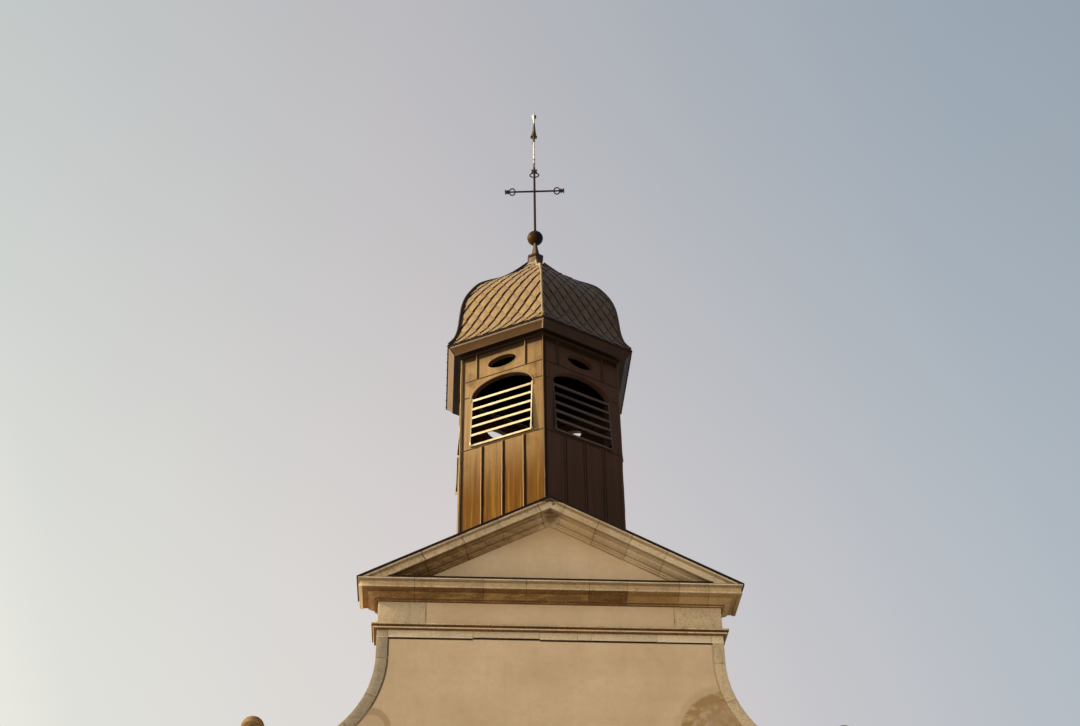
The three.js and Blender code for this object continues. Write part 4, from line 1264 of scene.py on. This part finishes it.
# The stem above the roof: a flared collar, the cap and the ball with its girdle.
stem = {
    "collar": (
        (0.19, 13.735), (0.212, 13.735), (0.250, 13.700), (0.330, 13.625), (0.335, 13.600), (0.305, 13.600),
        (0.19, 13.70),
    ),
    "collarEdge": 0.004, "capEdge": 0.005,
    "ballRadius": 0.188, "ballZ": 14.617, "ballRows": 32, "girdleProud": 0.003,
}


def makeStem():
    collar = turnedBody("cap_collar", stem["collar"], 6, "bronzeHips", edge=stem["collarEdge"])
    settle(collar)
    shape = copyOf("roof_cap")
    softenEdges(shape, stem["capEdge"])
    cap = newObject("roof_cap_sheet", meshFrom("roof_cap_sheet", shape, "bronzeCap"))
    settle(cap, instead=["roof_cap"])
    radius = stem["ballRadius"] - stem["girdleProud"]
    ball = arc(0, stem["ballZ"], radius, radius, -90, 90, stem["ballRows"])
    ball[stem["ballRows"] // 2] = (stem["ballRadius"], stem["ballZ"])
    settle(turnedBody("finial_ball_sheet", ball, 64, "oldGilt", 40), instead=["finial_ball"])


# Stone balls on the pedestals, rounder than the frame's, each on a foot of (radius, height) points.
stoneBalls = {
    "radius": 0.206, "x": 5.15, "y": 0.3125, "z": 0.898, "rows": 24,
    "foot": ((0.0, 0.0), (0.130, 0.0), (0.130, 0.018), (0.095, 0.030)),
}


def makeStoneBalls():
    radius = stoneBalls["radius"]
    start = math.degrees(math.asin(stoneBalls["foot"][-1][0] / radius)) - 90
    above = arc(0, stoneBalls["z"], radius, radius, start, 90, stoneBalls["rows"])
    for hand, side in hands:
        node = "ball_finial_" + hand
        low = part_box(node)[0].z
        profile = [(reach, low + height) for reach, height in stoneBalls["foot"]] + above
        place = {"x": side * stoneBalls["x"], "y": stoneBalls["y"]}
        ball = turnedBody(node + "_stone", profile, 48, "limestoneBall", 35, **place)
        settle(ball, instead=[node])


makeStem()
makeStoneBalls()
print("stem and stone balls made")

# The wrought cross: tapered bars, a ring and a pair of scrolls at each tip. The mast is (z, girth) and
# an arm (distance from the mast, girth).
cross = {
    "mast": (
        (14.8053, 0.058), (14.8173, 0.060), (14.8213, 0.050), (14.8553, 0.034), (14.8953, 0.0290),
        (16.13, 0.0280), (16.9, 0.0250), (17.78, 0.0205), (17.8, 0.018), (17.801, 0.011), (18.09, 0.011),
    ),
    "arm": ((0.0, 0.024), (0.40, 0.0225), (0.66, 0.018), (0.69, 0.018), (0.72, 0.008)),
    "crossing": 16.13, "turn": -5.0,
    "ringPlace": 0.54, "ringHalf": (0.070, 0.108), "ringGirth": 0.015,
    "scrollPlace": 0.672, "scrollRadius": 0.042, "scrollGap": 0.006,
    "scrollGirths": (0.027, 0.018, 0.018, 0.018, 0.018, 0.018, 0.018, 0.018, 0.027),
}


def makeCross():
    space = turnedAboutAxis(cross["turn"])
    paths = Paths()

    def add(points, girth, closed=False):
        paths.add([space @ Vector((px, 0, pz)) for px, pz in points], girth=girth, closed=closed)

    # points are (distance from the mast, across) on an arm, and the top of the mast has no side
    def onArm(side, points):
        if side:
            return [(side * far, cross["crossing"] + across) for far, across in points]
        return [(across, cross["crossing"] + far) for far, across in points]

    add([(0, z) for z, _ in cross["mast"]], [girth for _, girth in cross["mast"]])
    for side in (1, -1, 0):
        if side:
            arm = [(far, 0) for far, _ in cross["arm"]]
            add(onArm(side, arm), [girth for _, girth in cross["arm"]])
        ring = arc(cross["ringPlace"], 0, *cross["ringHalf"], 0, 360, 28)[:-1]
        add(onArm(side, ring), cross["ringGirth"], closed=True)
        radius = cross["scrollRadius"]
        for way in (-1, 1):
            middle = cross["scrollPlace"] + way * (radius + cross["scrollGap"])
            scroll = arc(middle, 0, -way * radius, 1.25 * radius, -80, 80, 8)
            add(onArm(side, scroll), cross["scrollGirths"])
    settle(grow("cross_iron", paths, bars, "oldIron", {"Sides": 12}, 50), instead=["cross"])


# The weathercock: a sheet body with sickle feathers, beak to the front at rest.
cock = {
    # along, up, half width, half height of each ring from the tail to the crown
    "rings": (
        (-0.150, 18.050, 0.018, 0.028), (-0.110, 18.042, 0.050, 0.050), (-0.060, 18.035, 0.080, 0.068),
        (-0.005, 18.035, 0.070, 0.088), (0.050, 18.060, 0.052, 0.092), (0.095, 18.105, 0.040, 0.080),
        (0.130, 18.170, 0.030, 0.064), (0.152, 18.240, 0.022, 0.050), (0.168, 18.320, 0.017, 0.040),
        (0.178, 18.400, 0.020, 0.036), (0.186, 18.450, 0.040, 0.040), (0.193, 18.495, 0.064, 0.046),
        (0.200, 18.530, 0.056, 0.036), (0.203, 18.552, 0.020, 0.014),
    ),
    "plumes": (
        ((-0.10, 18.02), (-0.20, 18.12), (-0.27, 18.30), (-0.295, 18.50)),
        ((-0.10, 18.01), (-0.23, 18.12), (-0.32, 18.25), (-0.365, 18.43)),
        ((-0.10, 18.00), (-0.26, 18.09), (-0.37, 18.20), (-0.425, 18.345)),
        ((-0.10, 17.99), (-0.27, 18.05), (-0.40, 18.12), (-0.475, 18.215)),
        ((-0.10, 17.98), (-0.25, 18.01), (-0.37, 18.04), (-0.435, 18.07)),
        ((-0.08, 18.00), (-0.20, 18.02), (-0.29, 18.03), (-0.345, 18.06)),
    ),
    "plumeWidth": 0.052, "plumeThick": 0.010, "fan": 0.008,
    "comb": (
        (0.152, 18.528), (0.134, 18.572), (0.163, 18.566), (0.177, 18.608), (0.200, 18.580), (0.224, 18.606),
        (0.234, 18.562), (0.224, 18.526),
    ),
    "combThick": 0.016,
    "wattle": ((0.212, 18.480), (0.246, 18.474), (0.246, 18.412), (0.230, 18.398), (0.216, 18.430)),
    "beak": ((0.222, 18.500, 0.020, 0.020), (0.256, 18.497, 0.014, 0.014), (0.302, 18.492, 0.003, 0.003)),
    "wing": (
        (0.030, 17.985), (-0.010, 18.030), (-0.080, 18.062), (-0.142, 18.060), (-0.100, 18.020),
        (-0.030, 17.985),
    ),
    "wingThick": 0.018, "wingOut": 0.072, "edge": 0.003,
    # beside the axis, z and girth of each leg, and radius and z of the sleeve
    "leg": ((0.0225, 17.98, 0.020), (0.045, 17.92, 0.014), (0.009, 17.86, 0.016)),
    "sleeve": (
        (0.0135, 17.806), (0.030, 17.806), (0.032, 17.820), (0.025, 17.828), (0.024, 17.90), (0.024, 18.05),
        (0.0135, 18.05), (0.0135, 17.806),
    ),
}


def tubeThrough(shape, rings, sides=16):
    loops = []
    for i, (along, up, halfWidth, halfHeight) in enumerate(rings):
        ahead = rings[min(i + 1, len(rings) - 1)]
        behind = rings[max(i - 1, 0)]
        direction = Vector((ahead[0] - behind[0], 0, ahead[1] - behind[1])).normalized()
        over = Vector((0, 1, 0)).cross(direction) * halfHeight
        loop = []
        for k in range(sides):
            angle = 2 * math.pi * k / sides
            point = Vector((along, halfWidth * math.cos(angle), up)) + over * math.sin(angle)
            loop.append(shape.verts.new(point))
        loops.append(loop)
    for low, high in zip(loops, loops[1:]):
        for k in range(sides):
            j = (k + 1) % sides
            shape.faces.new([low[k], low[j], high[j], high[k]])
    shape.faces.new(loops[0][::-1])
    shape.faces.new(loops[-1])


def plate(shape, outline, thickness, sideways=0.0):
    front, back = (
        [shape.verts.new((px, sideways + side * thickness / 2, pz)) for px, pz in outline] for side in (-1, 1)
    )
    shape.faces.new(front)
    shape.faces.new(back[::-1])
    for i in range(len(outline)):
        j = (i + 1) % len(outline)
        shape.faces.new([front[j], front[i], back[i], back[j]])


def bezier(points, t):
    left = list(points)
    while len(left) > 1:
        left = [tuple(p + (q - p) * t for p, q in zip(a, b)) for a, b in zip(left, left[1:])]
    return left[0]


# A plume is widest past its middle and ends in a narrow tip.
def plumeOutline(points, steps=8):
    left, right = [], []
    for step in range(steps + 1):
        t = step / steps
        px, pz = bezier(points, t)
        qx, qz = bezier(points, min(1.0, t + 0.02))
        rx, rz = bezier(points, max(0.0, t - 0.02))
        swell = 0.35 + 0.65 * math.sin(math.pi * min(1.0, 0.15 + 0.75 * t))
        half = cock["plumeWidth"] * swell * (1.0 if t < 1 else 0.25) / 2
        scale = half / math.hypot(qx - rx, qz - rz)
        nx, nz = -(qz - rz) * scale, (qx - rx) * scale
        left.append((px + nx, pz + nz))
        right.append((px - nx, pz - nz))
    return left + right[::-1]


def makeCock():
    shape = bmesh.new()
    tubeThrough(shape, cock["rings"])
    for i, plume in enumerate(cock["plumes"]):
        plate(shape, plumeOutline(plume), cock["plumeThick"], cock["fan"] * (-1) ** i)
    plate(shape, cock["comb"], cock["combThick"])
    plate(shape, cock["wattle"], cock["wingThick"])
    tubeThrough(shape, cock["beak"], 10)
    for way in (-1, 1):
        plate(shape, cock["wing"], cock["wingThick"], way * cock["wingOut"])
    bmesh.ops.recalc_face_normals(shape, faces=shape.faces)
    softenEdges(shape, cock["edge"], 50)
    bmesh.ops.transform(shape, matrix=turnedAboutAxis(-90), verts=shape.verts)
    bird = newObject("weathercock_bird", meshFrom("weathercock_bird", shape, "cockSheet", 45))
    rounder = bird.modifiers.new("rounder", "SUBSURF")
    rounder.levels = rounder.render_levels = 1
    settle(bird, "weathercock", ["weathercock"])
    legs = Paths()
    for side in (-1, 1):
        points = [(turret["x"], turret["y"] + side * beside, z) for beside, z, _ in cock["leg"]]
        legs.add(points, girth=[girth for _, _, girth in cock["leg"]])
    settle(grow("weathercock_legs", legs, bars, "cockSheet", {"Sides": 10}, 50), "weathercock")
    settle(turnedBody("weathercock_sleeve", cock["sleeve"], 24, "cockSheet", 40), "weathercock")


makeCross()
makeCock()
print("cross and weathercock made")

# Sheet seams down the nave's roof, a roll along its ridge and a bead under the turret's fascia.
naveRoof = {
    "from": 0.78, "spacing": 0.52, "count": 11, "eaves": 3.04, "middle": 0.03,
    "seam": {"Proud": 0.024, "Breadth": 0.014, "Step": 0.3, "Wobble": 0.0015, "Seed": 3},
    "ridgeFrom": 0.51, "ridgeTo": 6.09, "ridgeGirth": 0.034,
    "beadRadius": 2.124, "beadZ": 10.239, "beadGirth": 0.010,
}


def makeNaveRoof():
    seams, rolls, bead = Paths(), Paths(), Paths()
    for side in (-1, 1):
        facing = Vector((side * math.sin(slope), 0, math.cos(slope)))
        for i in range(naveRoof["count"]):
            y = naveRoof["from"] + i * naveRoof["spacing"]
            ends = (naveRoof["middle"], naveRoof["eaves"])
            seams.add([(side * x, y, naveRoofAt(x)) for x in ends], facing)
    settle(grow("nave_roof_seams", seams, folds, "naveRoofSheet", naveRoof["seam"]))
    ridge = naveRoofAt(0) - 0.005
    reach = turret["radius"] - 0.05
    for ends in ((naveRoof["ridgeFrom"], turret["y"] - reach), (turret["y"] + reach, naveRoof["ridgeTo"])):
        rolls.add([(0, y, ridge) for y in ends], girth=naveRoof["ridgeGirth"])
    settle(grow("nave_ridge_roll", rolls, bars, "naveRoofSheet", {"Sides": 14}, 50))
    ring = [roundAxis(naveRoof["beadRadius"], naveRoof["beadZ"], 60 * corner) for corner in range(6)]
    bead.add(ring, girth=naveRoof["beadGirth"], closed=True)
    settle(grow("fascia_bead", bead, bars, "bronzeTrim", {"Sides": 10}, 50))


makeNaveRoof()
print("nave roof seamed")

# The photograph's viewpoint: below the foot, a little to the left, looking up.
camera = {
    "place": (-1.954, -26.179, -11.200), "pitch": 37.188, "yaw": 3.988, "roll": -0.820,
    "sensor": 36, "focalShare": 1640.44 / 1080, "clipEnd": 2000,
}


def makeCamera():
    pitch, yaw, roll = (math.radians(camera[k]) for k in ("pitch", "yaw", "roll"))
    ahead = Vector((math.sin(yaw) * math.cos(pitch), math.cos(yaw) * math.cos(pitch), math.sin(pitch)))
    right = Vector((math.cos(yaw), -math.sin(yaw), 0))
    up = right.cross(ahead)
    across = right * math.cos(roll) + up * math.sin(roll)
    upright = -right * math.sin(roll) + up * math.cos(roll)
    data = bpy.data.cameras.new("viewpoint")
    data.sensor_width = camera["sensor"]
    data.lens = camera["sensor"] * camera["focalShare"]
    data.clip_end = camera["clipEnd"]
    viewpoint = newObject("viewpoint", data)
    turn = Matrix((across, upright, -ahead)).transposed().to_4x4()
    viewpoint.matrix_world = Matrix.Translation(camera["place"]) @ turn
    bpy.context.scene.camera = viewpoint


# Low warm light from the left, and soft pale light all round that dims to the right.
light = {
    "azimuth": -91.0, "height": 23.0, "strength": 5.4, "softness": 2.0, "colour": (1.0, 0.80, 0.56),
    "round": (
        (0.00, (1.90, 1.66, 1.30)), (0.22, (1.20, 1.12, 1.02)), (0.37, (0.741, 0.745, 0.701)),
        (0.50, (0.697, 0.640, 0.635)), (0.66, (0.445, 0.493, 0.545)), (1.00, (0.18, 0.21, 0.24)),
    ),
    "overhead": (0.69, 0.75, 0.80),
}


def makeLight():
    azimuth, height = math.radians(light["azimuth"]), math.radians(light["height"])
    level = math.cos(height)
    source = Vector((math.sin(azimuth) * level, -math.cos(azimuth) * level, math.sin(height)))
    data = bpy.data.lights.new("lowLight", "SUN")
    data.energy = light["strength"]
    data.angle = math.radians(light["softness"])
    data.color = light["colour"]
    lamp = newObject("lowLight", data)
    lamp.rotation_euler = source.to_track_quat("Z", "Y").to_euler()
    world = bpy.data.worlds.new("softLight")
    world.use_nodes = True
    bpy.context.scene.world = world
    m = NodeMaker(world.node_tree)
    x, y, z = m.split(m.node("ShaderNodeTexCoord", output="Generated"))
    glow = m.ramp((x + (z - 0.6) * 0.3) * 0.5 + 0.5, light["round"])
    glow = m.tint(m.fade(z, 0.40, 0.85), glow, m.tint(1.0, glow, light["overhead"], "MULTIPLY"))
    background = m.node("ShaderNodeBackground", {}, {"Color": glow, "Strength": 1.0})
    m.node("ShaderNodeOutputWorld", {}, {"Surface": background})


# A plain pale floor, which shows from above only.
floorLook = {"reach": 400.0, "dull": (0.60, 0.585, 0.56), "pale": (0.66, 0.645, 0.62)}


def makeFloor():
    reach = floorLook["reach"]
    mesh = bpy.data.meshes.new("floor")
    corners = [(-reach, -reach, 0), (reach, -reach, 0), (reach, reach, 0), (-reach, reach, 0)]
    mesh.from_pydata(corners, [], [(0, 1, 2, 3)])
    material = bpy.data.materials.new("paleFloor")
    material.use_nodes = True
    m = NodeMaker(material.node_tree)
    grey = m.ramp(m.noise(0.4, 3), [(0.3, floorLook["dull"]), (0.7, floorLook["pale"])])
    matt = m.node("ShaderNodeBsdfDiffuse", {}, {"Color": grey})
    clear = m.node("ShaderNodeBsdfTransparent")
    below = m.node("ShaderNodeNewGeometry", output="Backfacing")
    mixed = m.node("ShaderNodeMixShader", {}, {0: below, 1: matt, 2: clear})
    m.node("ShaderNodeOutputMaterial", {}, {"Surface": mixed})
    mesh.materials.append(material)
    newObject("floor", mesh)


makeCamera()
makeLight()
makeFloor()
bpy.context.scene.view_settings.view_transform = "Standard"
print("camera, light and floor set")
